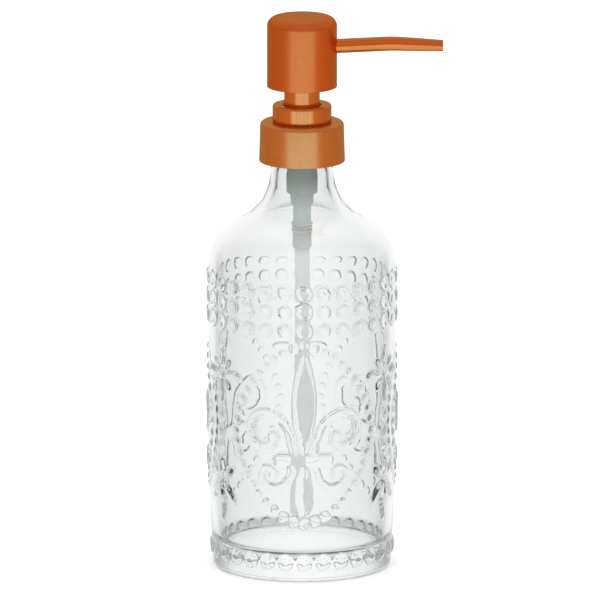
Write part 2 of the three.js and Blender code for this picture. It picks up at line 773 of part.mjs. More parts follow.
function headCore() {
  const skirt = SLEEVE_RADIUS - SLEEVE_TAPER - SLEEVE_WALL - GAP;
  const stemSocket = STEM_RADIUS + GAP;
  const ballBore = OUTLET_BALL_RADIUS + SLIDE;
  const rest = Math.sqrt(OUTLET_BALL_RADIUS ** 2 - STEM_SEAT_HOLE ** 2);
  const ballTop = stemTopZ + rest + OUTLET_BALL_RADIUS + OUTLET_BALL_TRAVEL + 2 * GAP;
  const channel = OUTLET_BALL_RADIUS - SLIDE;
  const channelTop = spoutZ + SPOUT_BORE;
  const topPlate = headTopZ - HEAD_DOME - HEAD_ROUND + CORE_TOP_RISE;
  const topRadius = headBore - HEAD_ROUND / 2;
  const body = turned(
    [
      [0, channelTop],
      [channel, channelTop],
      [channel, ballTop],
      [ballBore, ballTop],
      [ballBore, stemTopZ + GAP],
      [stemSocket, stemTopZ + GAP],
      [stemSocket, sleeveZ + SLIDE],
      [skirt, sleeveZ + SLIDE],
      [skirt, corePlateZ],
      [headBore - GAP, corePlateZ],
      [headBore - GAP, corePlateZ + CORE_PLATE],
      [CORE_BOSS_RADIUS, corePlateZ + CORE_PLATE],
      [CORE_BOSS_RADIUS, topPlate],
      [topRadius, topPlate],
      [topRadius, topPlate + CORE_TOP_PLATE],
      [0, topPlate + CORE_TOP_PLATE],
    ],
    INNER_SIDES,
  );
  const socketEnd = SPOUT_SOCKET_START + SPOUT_SOCKET_LENGTH;
  const socket = barAlongX(spoutSocketBore + SPOUT_SOCKET_WALL, 0, socketEnd, spoutZ);
  const bore = barAlongX(spoutSocketBore, SPOUT_SOCKET_START, socketEnd + 1, spoutZ);
  const passage = barAlongX(SPOUT_BORE, 0, SPOUT_SOCKET_START + 1, spoutZ);
  const riser = turned(
    [
      [0, ballTop - GAP],
      [channel, ballTop - GAP],
      [channel, channelTop],
      [0, channelTop],
    ],
    INNER_SIDES,
  );
  const cuts = [bore, passage, riser].map(solid);
  return geometryOf(cuts.reduce((left, cut) => left.subtract(cut), solid(body).add(solid(socket))));
}

// ------------------------------------------------------------------------ assembly

const dispenser = new THREE.Group();
dispenser.add(
  piece("glass_bottle", glassBottle(), glass),
  piece("neck_gasket", neckGasket(), blackRubber),
  piece("pump_housing", pumpHousing(), naturalPlastic),
  piece("stem_guide", stemGuide(), whitePlastic),
  piece("ring_shell", ringShell(), brightCopper),
  piece("dip_tube", dipTube(), milkyPlastic),
  piece("ball_retainer", ballRetainer(), whitePlastic),
  piece("inlet_ball", ball(INLET_BALL_RADIUS, SEAT_HOLE, inletSeatZ), steel),
  piece("return_spring", returnSpring(), steel),
  piece("closure_cap", closureCap(), whitePlastic),
  piece("collar_shell", collarShell(), copper),
  piece("piston_rod", pistonRod(), whitePlastic),
  piece("piston_seal", pistonSeal(), milkyPlastic),
  piece("pump_stem", stem(), whitePlastic),
  piece("outlet_ball", ball(OUTLET_BALL_RADIUS, STEM_SEAT_HOLE, stemTopZ), steel),
  piece("head_core", headCore(), whitePlastic),
  piece("head_shell", headShell(), copper),
  piece("stem_sleeve", stemSleeve(), brightCopper),
  piece("spout_tube", spoutTube(), brightCopper),
);

export default dispenser;
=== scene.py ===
"""Visual model of a soap pump dispenser: an embossed glass bottle closed by a lotion pump.

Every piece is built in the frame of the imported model, in metres, and rides on one of its
bodies. Sizes below are in millimetres and become metres where a mesh is made.
"""

import logging
import math
from dataclasses import dataclass, field
from enum import Enum
from functools import cache
from typing import Callable, Iterable, Sequence

import bmesh
import bpy
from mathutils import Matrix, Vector


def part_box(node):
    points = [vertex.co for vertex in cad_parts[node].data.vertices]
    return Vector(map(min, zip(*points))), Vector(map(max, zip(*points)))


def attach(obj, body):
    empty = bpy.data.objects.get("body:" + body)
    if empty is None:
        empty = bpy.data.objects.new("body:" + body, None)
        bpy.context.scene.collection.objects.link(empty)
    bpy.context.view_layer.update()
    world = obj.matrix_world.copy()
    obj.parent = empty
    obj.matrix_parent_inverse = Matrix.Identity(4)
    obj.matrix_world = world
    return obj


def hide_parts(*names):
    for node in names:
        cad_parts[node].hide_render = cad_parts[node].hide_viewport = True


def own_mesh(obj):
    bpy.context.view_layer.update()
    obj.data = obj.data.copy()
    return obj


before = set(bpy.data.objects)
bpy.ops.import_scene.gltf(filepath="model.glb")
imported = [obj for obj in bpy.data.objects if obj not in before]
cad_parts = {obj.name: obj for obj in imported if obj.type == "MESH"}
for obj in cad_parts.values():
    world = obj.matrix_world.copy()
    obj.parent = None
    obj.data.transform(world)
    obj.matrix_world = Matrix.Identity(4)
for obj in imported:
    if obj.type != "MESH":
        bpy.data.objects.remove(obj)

LOG = logging.getLogger("soap_dispenser")
MM = 0.001
FULL_TURN = 2 * math.pi
GAP = 0.15

Corner = tuple[float, float, float]
Point = tuple[float, float]
Colour = tuple[float, float, float]
Pieces = dict[str, bpy.types.Object]


class Body(Enum):
    """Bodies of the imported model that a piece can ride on."""

    BOTTLE = "bottle"
    PUMP = "pump_unit"
    CLOSURE = "closure"
    PLUNGER = "plunger"
    HEAD = "head"
    INLET = "inlet_valve"
    OUTLET = "outlet_valve"


class Slot(Enum):
    """Material slots of the record."""

    GLASS = "clear_glass"
    RUBBER = "gasket_rubber"
    NATURAL = "natural_plastic"
    MILKY = "milky_plastic"
    WHITE = "white_plastic"
    STEEL = "bright_steel"
    SATIN = "satin_copper"
    BRIGHT = "bright_copper"


# ------------------------------------------------------------------------- outlines


def rounded(corners: Sequence[Corner], closed: bool = True, steps: int = 5) -> list[Point]:
    """Rounds the corners of an outline.

    Args:
        corners: (radius, height, fillet) of each corner, in order.
        closed: whether the last corner joins the first.
        steps: facets in each fillet.

    Returns:
        The outline's points as (radius, height).
    """
    outline: list[Point] = []
    last = len(corners) - 1
    for index, (radius, height, fillet) in enumerate(corners):
        here = Vector((radius, height))
        if fillet <= 0 or (not closed and index in (0, last)):
            outline.append((radius, height))
            continue
        back = Vector(corners[index - 1][:2]) - here
        ahead = Vector(corners[(index + 1) % len(corners)][:2]) - here
        half = back.angle(ahead) / 2
        reach = min(fillet / math.tan(half), 0.49 * back.length, 0.49 * ahead.length)
        middle = (back.normalized() + ahead.normalized()).normalized()
        centre = here + middle * reach / math.cos(half)
        size = reach * math.tan(half)
        start = here + back.normalized() * reach - centre
        end = here + ahead.normalized() * reach - centre
        for step in range(steps + 1):
            spoke = start.lerp(end, step / steps).normalized() * size
            outline.append(tuple(centre + spoke))
    return outline


def bezier(points: Sequence[Point], steps: int) -> list[Point]:
    """Samples a cubic Bezier curve from its four points, both ends included.

    Args:
        points: the first end, the two handles and the last end.
        steps: how many chords it is cut into.

    Returns:
        The points along the curve, both ends among them.
    """
    a, b, c, d = (Vector(point) for point in points)
    curve: list[Point] = []
    for step in range(steps + 1):
        t = step / steps
        s = 1 - t
        curve.append(tuple(a * s**3 + b * 3 * s * s * t + c * 3 * s * t * t + d * t**3))
    return curve


def smooth_path(points: Sequence[Point], spacing: float) -> list[Point]:
    """Runs a smooth curve through points and samples it.

    Args:
        points: the points that the curve passes through, as (across, up).
        spacing: about how far apart the samples are.

    Returns:
        The samples, in order.
    """
    ends = [points[0], *points, points[-1]]
    path: list[Point] = []
    for before, start, end, after in zip(ends, ends[1:], ends[2:], ends[3:]):
        p0, p1, p2, p3 = (Vector(point) for point in (before, start, end, after))
        count = max(2, round((p2 - p1).length / spacing))
        for step in range(count):
            t = step / count
            spot = 0.5 * (
                2 * p1
                + (p2 - p0) * t
                + (2 * p0 - 5 * p1 + 4 * p2 - p3) * t**2
                + (3 * p1 - p0 - 3 * p2 + p3) * t**3
            )
            path.append(tuple(spot))
    path.append(tuple(points[-1]))
    return path


# --------------------------------------------------------------------------- meshes


def mesh_object(name: str, work: bmesh.types.BMesh, crease: float = 32.0) -> bpy.types.Object:
    """Finishes a bmesh as an object at the origin.

    Args:
        name: the object's name.
        work: the mesh, in metres; it is freed.
        crease: edges that bend more than this many degrees stay sharp.

    Returns:
        The new object, linked to the scene.
    """
    limit = math.radians(crease)
    for face in work.faces:
        face.smooth = True
    for edge in work.edges:
        edge.smooth = not edge.is_manifold or edge.calc_face_angle(0.0) < limit
    mesh = bpy.data.meshes.new(name)
    work.to_mesh(mesh)
    work.free()
    made = bpy.data.objects.new(name, mesh)
    bpy.context.scene.collection.objects.link(made)
    return made


def spun(outline: Sequence[Point], sides: int, closed: bool = True) -> bmesh.types.BMesh:
    """Turns an outline about Z into a closed body.

    Args:
        outline: (radius, height) points in millimetres, upwards on the outside.
        sides: facets round the full turn.
        closed: whether the outline is a ring; otherwise both its ends lie on the axis.

    Returns:
        The body, in metres, with its faces pointing out.
    """
    work = bmesh.new()
    verts = [work.verts.new((radius * MM, 0.0, height * MM)) for radius, height in outline]
    pairs = list(zip(verts, verts[1:])) + ([(verts[-1], verts[0])] if closed else [])
    edges = [work.edges.new(pair) for pair in pairs]
    bmesh.ops.spin(
        work,
        geom=verts + edges,
        cent=(0, 0, 0),
        axis=(0, 0, 1),
        angle=FULL_TURN,
        steps=sides,
        use_merge=True,
        use_duplicate=False,
    )
    bmesh.ops.remove_doubles(work, verts=work.verts, dist=1e-7)
    bmesh.ops.recalc_face_normals(work, faces=work.faces)
    return work


def swept(
    path: Sequence[Vector], radius: float, sides: int, bore: float = 0.0
) -> bmesh.types.BMesh:
    """Sweeps a round or annular section along a path by extruding it step by step.

    Args:
        path: points of the centre line, in metres.
        radius: outside radius in metres.
        sides: facets round the section.
        bore: inside radius in metres, or 0 for a solid rod.

    Returns:
        The closed body, in metres.
    """
    work = bmesh.new()
    lean = (path[1] - path[0]).normalized().to_track_quat("Z", "Y")
    rims = [radius, bore] if bore else [radius]
    loops: list[list[bmesh.types.BMVert]] = []
    for rim in rims:
        ring = bmesh.ops.create_circle(work, segments=sides, radius=rim)["verts"]
        bmesh.ops.rotate(work, verts=ring, cent=(0, 0, 0), matrix=lean.to_matrix())
        bmesh.ops.translate(work, verts=ring, vec=path[0])
        loops.append(ring)
    starts = [list(ring) for ring in loops]
    for stop in range(1, len(path)):
        before = path[stop] - path[stop - 1]
        after = path[min(stop + 1, len(path) - 1)] - path[stop]
        ahead = before.normalized() + (after if after.length else before).normalized()
        turn_to = ahead.normalized().to_track_quat("Z", "Y")
        turn = (turn_to @ lean.inverted()).to_matrix()
        for index, ring in enumerate(loops):
            edges = [edge for vert in ring for edge in vert.link_edges]
            edges = [edge for edge in set(edges) if all(vert in set(ring) for vert in edge.verts)]
            grown = bmesh.ops.extrude_edge_only(work, edges=edges)["geom"]
            ring = [item for item in grown if isinstance(item, bmesh.types.BMVert)]
            bmesh.ops.rotate(work, verts=ring, cent=path[stop - 1], matrix=turn)
            bmesh.ops.translate(work, verts=ring, vec=before)
            loops[index] = ring
        lean = turn_to
    for caps in (starts, loops):
        rim_edges = [
            edge
            for ring in caps
            for edge in {e for v in ring for e in v.link_edges}
            if all(vert in set(ring) for vert in edge.verts)
        ]
        if bore:
            bmesh.ops.bridge_loops(work, edges=rim_edges)
        else:
            bmesh.ops.contextual_create(work, geom=rim_edges)
    bmesh.ops.recalc_face_normals(work, faces=work.faces)
    return work


def sphere(radius: float, centre: Vector, fineness: int = 24) -> bmesh.types.BMesh:
    """A ball in metres, with its centre where it lies.

    Args:
        radius: its radius in metres.
        centre: its middle in metres.
        fineness: segments round the ball; it has half as many rings.

    Returns:
        The body.
    """
    work = bmesh.new()
    bmesh.ops.create_uvsphere(work, u_segments=fineness, v_segments=fineness // 2, radius=radius)
    bmesh.ops.translate(work, verts=work.verts, vec=centre)
    return work


def cylinder(radius: float, length: float, sides: int) -> bmesh.types.BMesh:
    """An upright closed cylinder about the origin.

    Args:
        radius: its radius in millimetres.
        length: its length in millimetres.
        sides: facets round it.

    Returns:
        The body, in metres.
    """
    work = bmesh.new()
    bmesh.ops.create_cone(
        work,
        cap_ends=True,
        segments=sides,
        radius1=radius * MM,
        radius2=radius * MM,
        depth=length * MM,
    )
    return work


def lay_along_x(work: bmesh.types.BMesh) -> None:
    """Turns an upright body so that its length runs along X."""
    turn = Vector((0, 0, 1)).rotation_difference(Vector((1, 0, 0))).to_matrix()
    bmesh.ops.rotate(work, verts=work.verts, cent=(0, 0, 0), matrix=turn)


def helix(reach: float, foot: float, rise: float, turns: float, steps: int) -> list[Vector]:
    """Points of a right-handed helix about Z.

    Args:
        reach: its radius in millimetres.
        foot: the height where it starts.
        rise: how far it climbs in all.
        turns: how many turns it makes.
        steps: how many chords it has.

    Returns:
        The points, in metres.
    """
    path: list[Vector] = []
    for k in range(steps + 1):
        angle = FULL_TURN * turns * k / steps
        height = (foot + rise * k / steps) * MM
        path.append(
            Vector((reach * MM * math.cos(angle), reach * MM * math.sin(angle), height))
        )
    return path


def cut(piece: bpy.types.Object, tool: bpy.types.Object) -> None:
    """Takes a tool's volume out of a piece and throws the tool away."""
    join(piece, tool, "DIFFERENCE")


def join(piece: bpy.types.Object, tool: bpy.types.Object, how: str = "UNION") -> None:
    """Joins a tool to a piece, or cuts it out, and throws the tool away.

    Args:
        piece: the object that is changed.
        tool: the object that is used up.
        how: UNION or DIFFERENCE.
    """
    modifier = piece.modifiers.new("join", "BOOLEAN")
    modifier.operation = how
    modifier.solver = "EXACT"
    modifier.object = tool
    graph = bpy.context.evaluated_depsgraph_get()
    joined = bpy.data.meshes.new_from_object(piece.evaluated_get(graph))
    piece.modifiers.clear()
    piece.data = joined
    bpy.data.objects.remove(tool)


# ------------------------------------------------------------------------- finishes


class NodeTree:
    """Adds and joins nodes in the tree that a subclass sets."""

    tree: bpy.types.NodeTree

    def add(self, kind: str) -> bpy.types.Node:
        """Adds a node."""
        return self.tree.nodes.new(kind)

    def link(self, source: bpy.types.NodeSocket, target: bpy.types.NodeSocket) -> None:
        """Joins two sockets."""
        self.tree.links.new(source, target)

    def ramp(
        self, value: bpy.types.NodeSocket, stops: Sequence[tuple[float, Colour]]
    ) -> bpy.types.NodeSocket:
        """Turns a value into colours.

        Args:
            value: the socket that is read.
            stops: (place, colour) of each stop.

        Returns:
            The colour's socket.
        """
        node = self.add("ShaderNodeValToRGB")
        points = node.color_ramp.elements
        while len(points) < len(stops):
            points.new(0.5)
        for point, (where, colour) in zip(points, stops):
            point.position = where
            point.color = (*colour, 1.0)
        self.link(value, node.inputs["Fac"])
        return node.outputs["Color"]


class Wiring(NodeTree):
    """Builds a material's nodes round one Principled shader."""

    def __init__(self, name: str) -> None:
        """Starts a material with an empty Principled shader.

        Args:
            name: the material's name.
        """
        self.material = bpy.data.materials.new(name)
        self.material.use_nodes = True
        self.tree = self.material.node_tree
        self.shader = self.tree.nodes["Principled BSDF"]
        self.place = self.add("ShaderNodeTexCoord").outputs["Object"]

    def set(self, **values: object) -> None:
        """Sets the shader's own sockets, with underscores for the spaces in their names."""
        for key, value in values.items():
            self.shader.inputs[key.replace("_", " ")].default_value = value

    def noise(
        self, per_metre: float, detail: float = 3.0, stretch: Sequence[float] = (1, 1, 1)
    ) -> bpy.types.NodeSocket:
        """A noise pattern on object coordinates.

        Args:
            per_metre: how fine the pattern is.
            detail: how many finer layers it has.
            stretch: scale along each axis, for streaks.

        Returns:
            The pattern's value socket.
        """
        mapping = self.add("ShaderNodeMapping")
        mapping.inputs["Scale"].default_value = tuple(stretch)
        self.link(self.place, mapping.inputs["Vector"])
        noise = self.add("ShaderNodeTexNoise")
        noise.inputs["Scale"].default_value = per_metre
        noise.inputs["Detail"].default_value = detail
        self.link(mapping.outputs["Vector"], noise.inputs["Vector"])
        return noise.outputs["Fac"]

    def fade(
        self, colour: bpy.types.NodeSocket, heights: tuple[float, float], end: Colour
    ) -> bpy.types.NodeSocket:
        """Fades a colour into another between two heights.

        Args:
            colour: the socket of the first colour.
            heights: where the fade starts and ends, in metres up the object.
            end: the second colour.

        Returns:
            The faded colour's socket.
        """
        axes = self.add("ShaderNodeSeparateXYZ")
        self.link(self.place, axes.inputs["Vector"])
        share = self.add("ShaderNodeMapRange")
        share.inputs["From Min"].default_value = heights[0]
        share.inputs["From Max"].default_value = heights[1]
        self.link(axes.outputs["Z"], share.inputs["Value"])
        blend = self.add("ShaderNodeMixRGB")
        self.link(share.outputs["Result"], blend.inputs["Fac"])
        self.link(colour, blend.inputs["Color1"])
        blend.inputs["Color2"].default_value = (*end, 1.0)
        return blend.outputs["Color"]

    def spread(self, value: bpy.types.NodeSocket, low: float, high: float) -> bpy.types.NodeSocket:
        """Maps the middle half of a noise value onto a range.

        Args:
            value: the socket that is read, from nought to one.
            low: what nought becomes.
            high: what one becomes.

        Returns:
            The new value's socket.
        """
        node = self.add("ShaderNodeMapRange")
        node.inputs["From Min"].default_value = 0.3
        node.inputs["From Max"].default_value = 0.7
        node.inputs["To Min"].default_value = low
        node.inputs["To Max"].default_value = high
        self.link(value, node.inputs["Value"])
        return node.outputs["Result"]

    def bump(self, value: bpy.types.NodeSocket, depth_mm: float, strength: float = 1.0) -> None:
        """Roughs the shader's normal by a value of some depth in millimetres.

        Args:
            value: the socket that gives the height.
            depth_mm: the height of one, in millimetres.
            strength: how much of it counts.
        """
        node = self.add("ShaderNodeBump")
        node.inputs["Strength"].default_value = strength
        node.inputs["Distance"].default_value = depth_mm * MM
        self.link(value, node.inputs["Height"])
        self.link(node.outputs["Normal"], self.shader.inputs["Normal"])


@dataclass(frozen=True)
class Finish:
    """What every finish has: a name, the record's slot, a colour and a roughness."""

    name: str
    slot: Slot
    colour: Colour
    roughness: float

    def wire(self, wiring: Wiring) -> None:
        """Adds the finish's own nodes."""

    def material(self) -> bpy.types.Material:
        """The finish's material, made once.

        Returns:
            The material, with its nodes joined.
        """
        made = bpy.data.materials.get(self.name)
        if made is None:
            wiring = Wiring(self.name)
            wiring.set(Base_Color=(*self.colour, 1.0), Roughness=self.roughness)
            self.wire(wiring)
            made = wiring.material
        return made

    def shade(self, factor: float) -> Colour:
        """The finish's colour, darker or lighter by a factor."""
        return tuple(min(part * factor, 1.0) for part in self.colour)


@dataclass(frozen=True)
class PlatedCopper(Finish):
    """Copper plate: mottled tone, cloudy gloss and fine polishing lines round the piece."""

    mottle: float = 0.03
    cloud: float = 0.03
    lines_mm: float = 0.003
    rim: Colour = (1.0, 0.62, 0.38)

    def wire(self, wiring: Wiring) -> None:
        """Adds tone, gloss and line patterns to bare metal.

        Args:
            wiring: the material that is being made.
        """
        wiring.set(Metallic=1.0, Specular_Tint=(*self.rim, 1.0))
        tone = wiring.noise(420.0, 5.0)
        darker, lighter = self.shade(1 - self.mottle), self.shade(1 + self.mottle)
        colour = wiring.ramp(tone, [(0.32, darker), (0.5, self.colour), (0.68, lighter)])
        wiring.link(colour, wiring.shader.inputs["Base Color"])
        cloud = wiring.noise(60.0, 2.0)
        gloss = wiring.spread(cloud, self.roughness - self.cloud, self.roughness + self.cloud)
        wiring.link(gloss, wiring.shader.inputs["Roughness"])
        wiring.bump(wiring.noise(900.0, 2.0, (0.25, 0.25, 3.0)), self.lines_mm, 0.5)


@dataclass(frozen=True)
class PressedGlass(Finish):
    """Clear pressed glass with slight waves left by the mould."""

    ior: float = 1.5
    wave_mm: float = 0.05

    def wire(self, wiring: Wiring) -> None:
        """Lets the light through and adds the mould's waves."""
        wiring.set(Transmission_Weight=1.0, IOR=self.ior)
        wiring.bump(wiring.noise(45.0, 2.0), self.wave_mm, 0.35)


@dataclass(frozen=True)
class MouldedPlastic(Finish):
    """Moulded plastic: soft tone clouds, fine grain and some light let through."""

    glow: float = 0.0
    tone: float = 0.04
    # Painted shade, where set: the base colour stands for the shaded top and fades between these
    # two heights to a colour the factor below times paler.
    painted_shade_heights: tuple[float, float] | None = None
    unshaded_factor: float = 1.0

    def wire(self, wiring: Wiring) -> None:
        """Adds tone, grain, gloss, the light that passes and, where set, painted shade up top.

        Args:
            wiring: the material that is being made.
        """
        wiring.set(IOR=1.49, Subsurface_Weight=self.glow)
        wiring.set(Subsurface_Radius=(0.004, 0.004, 0.0036), Subsurface_Scale=1.0)
        clouds = wiring.noise(140.0, 4.0)
        stops = [(0.3, self.shade(1 - self.tone)), (0.7, self.shade(1 + self.tone))]
        tone = wiring.ramp(clouds, stops)
        # Painted shade: the colour stays dark above the fade heights and turns paler below them.
        if self.painted_shade_heights is not None:
            tone = wiring.fade(tone, self.painted_shade_heights, self.shade(self.unshaded_factor))
        wiring.link(tone, wiring.shader.inputs["Base Color"])
        grain = wiring.noise(1600.0, 2.0)
        gloss = wiring.spread(grain, self.roughness - 0.05, self.roughness + 0.05)
        wiring.link(gloss, wiring.shader.inputs["Roughness"])
        wiring.bump(grain, 0.01, 0.4)


@dataclass(frozen=True)
class BrightSteel(Finish):
    """Drawn stainless steel with faint streaks."""

    def wire(self, wiring: Wiring) -> None:
        """Adds streaks to the tone and the gloss.

        Args:
            wiring: the material that is being made.
        """
        wiring.set(Metallic=1.0)
        streaks = wiring.noise(700.0, 3.0, (1.0, 1.0, 4.0))
        stops = [(0.35, self.shade(0.9)), (0.65, self.shade(1.06))]
        wiring.link(wiring.ramp(streaks, stops), wiring.shader.inputs["Base Color"])
        gloss = wiring.spread(streaks, self.roughness, self.roughness + 0.12)
        wiring.link(gloss, wiring.shader.inputs["Roughness"])


GLASS = PressedGlass("clear_pressed_glass", Slot.GLASS, (0.985, 0.995, 0.99), 0.0)
SATIN_COPPER = PlatedCopper("satin_copper_plate", Slot.SATIN, (0.76, 0.25, 0.075), 0.3)
COLLAR_COPPER = PlatedCopper("collar_copper_plate", Slot.SATIN, (0.74, 0.40, 0.17), 0.27)
BRIGHT_COPPER = PlatedCopper(
    "bright_copper_plate", Slot.BRIGHT, (0.76, 0.36, 0.14), 0.13, mottle=0.015, cloud=0.02
)
SPOUT_COPPER = PlatedCopper(
    "spout_copper_plate", Slot.BRIGHT, (0.78, 0.27, 0.085), 0.13, mottle=0.015, cloud=0.02
)
# The housing's colour is painted shade: dark at its top inside the neck, fading to a paler tone
# lower down.
NATURAL = MouldedPlastic(
    "natural_polypropylene",
    Slot.NATURAL,
    (0.31, 0.34, 0.32),
    0.38,
    glow=0.15,
    painted_shade_heights=(0.166, 0.152),
    unshaded_factor=2.05,
)
MILKY = MouldedPlastic("milky_polyethylene", Slot.MILKY, (0.93, 0.95, 0.92), 0.36, glow=0.3)
WHITE = MouldedPlastic("white_polypropylene", Slot.WHITE, (0.80, 0.80, 0.78), 0.42, glow=0.15)
RUBBER = MouldedPlastic("gasket_rubber", Slot.RUBBER, (0.035, 0.036, 0.038), 0.7, tone=0.2)
STEEL = BrightSteel("bright_stainless", Slot.STEEL, (0.62, 0.63, 0.65), 0.18)


# --------------------------------------------------------------------------- seating


def place(piece: bpy.types.Object, node: str, body: Body, finish: Finish) -> None:
    """Gives a piece its finish, puts it on its body and hides the node it stands for.

    Args:
        piece: the finished mesh object.
        node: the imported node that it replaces.
        body: the body that it rides on.
        finish: its finish.
    """
    piece.data.materials.clear()
    piece.data.materials.append(finish.material())
    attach(piece, body.value)
    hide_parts(node)


def valve_ball(node: str) -> bpy.types.Object:
    """A steel valve ball where the frame has it.

    Args:
        node: the ball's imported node.

    Returns:
        The ball's object.
    """
    low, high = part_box(node)
    work = sphere((high.z - low.z) / 2, (low + high) / 2)
    return mesh_object(node.replace("_ball", "_valve_ball"), work)


@dataclass(frozen=True)
class Span:
    """Foot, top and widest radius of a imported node, in millimetres."""

    foot: float
    top: float
    radius: float

    @staticmethod
    @cache
    def of(node: str) -> "Span":
        """Reads a node's span from the frame, once.

        Args:
            node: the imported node.

        Returns:
            Its foot and top in millimetres.
        """
        low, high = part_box(node)
        radius = max(high.x, high.y, -low.x, -low.y)
        return Span(low.z / MM, high.z / MM, radius / MM)


# ---------------------------------------------------------------------------- relief


class Crown(Enum):
    """How a raised mark's section rises towards its middle."""

    BUTTON = "flat-topped"
    CAP = "softly domed"
    ROD = "half-round"
    ROOF = "ridged"

    def lift(self, share: float) -> float:
        """Height at a share of the half-width from the middle, from 1 down to 0.

        Args:
            share: 0 on the middle line and 1 at the edge.

        Returns:
            The height as a share of the mark's rise.
        """
        if self is Crown.ROD:
            return math.sqrt(max(1.0 - share * share, 0.0))
        if self is Crown.ROOF:
            return 1.0 - share
        dome = 0.08 if self is Crown.BUTTON else 0.3
        return 1.0 - dome * share**2 - (1.0 - dome) * share**5


@dataclass
class Relief:
    """Raised marks on the glass, kept as lifts on the grid of the bottle's own facets."""

    columns: int
    foot: float
    pitch: float
    radius: float
    full_half: float = 1.6
    lifts: dict[tuple[int, int], float] = field(default_factory=dict)

    def stamp(self, across: float, up: float, half: float, rise: float, crown: Crown) -> None:
        """Raises one round mark.

        Args:
            across: distance round the glass from the front, in millimetres.
            up: height above the foot.
            half: the mark's radius.
            rise: how proud its middle stands.
            crown: the section of the mark.
        """
        step = FULL_TURN * self.radius / self.columns
        above = up - self.foot
        for column in self.reached(across, half, step):
            for row in self.reached(above, half, self.pitch):
                offset = math.hypot(column * step - across, row * self.pitch + self.foot - up)
                if offset < half:
                    spot = (column % self.columns, row)
                    lift = rise * crown.lift(offset / half)
                    self.lifts[spot] = max(self.lifts.get(spot, 0.0), lift)

    def reached(self, middle: float, half: float, step: float) -> range:
        """The grid lines within half of a middle, where lines are a step apart."""
        return range(math.ceil((middle - half) / step), math.floor((middle + half) / step) + 1)

    def stroke(
        self,
        path: Sequence[Point],
        half: Callable[[float], float],
        rise: float,
        crown: Crown = Crown.CAP,
    ) -> None:
        """Raises a band along a path, as wide as half says at each share of its length.

        Args:
            path: points as (across, up) in millimetres.
            half: gives the half-width at a share of the path.
            rise: the height above the body.
            crown: the shape across the stroke.
        """
        for index, (across, up) in enumerate(path):
            width = half(index / (len(path) - 1))
            self.stamp(across, up, width, rise * min(1.0, width / self.full_half), crown)

    def lift_at(self, column: int, row: int) -> float:
        """The lift at a facet corner."""
        return self.lifts.get((column % self.columns, row), 0.0)


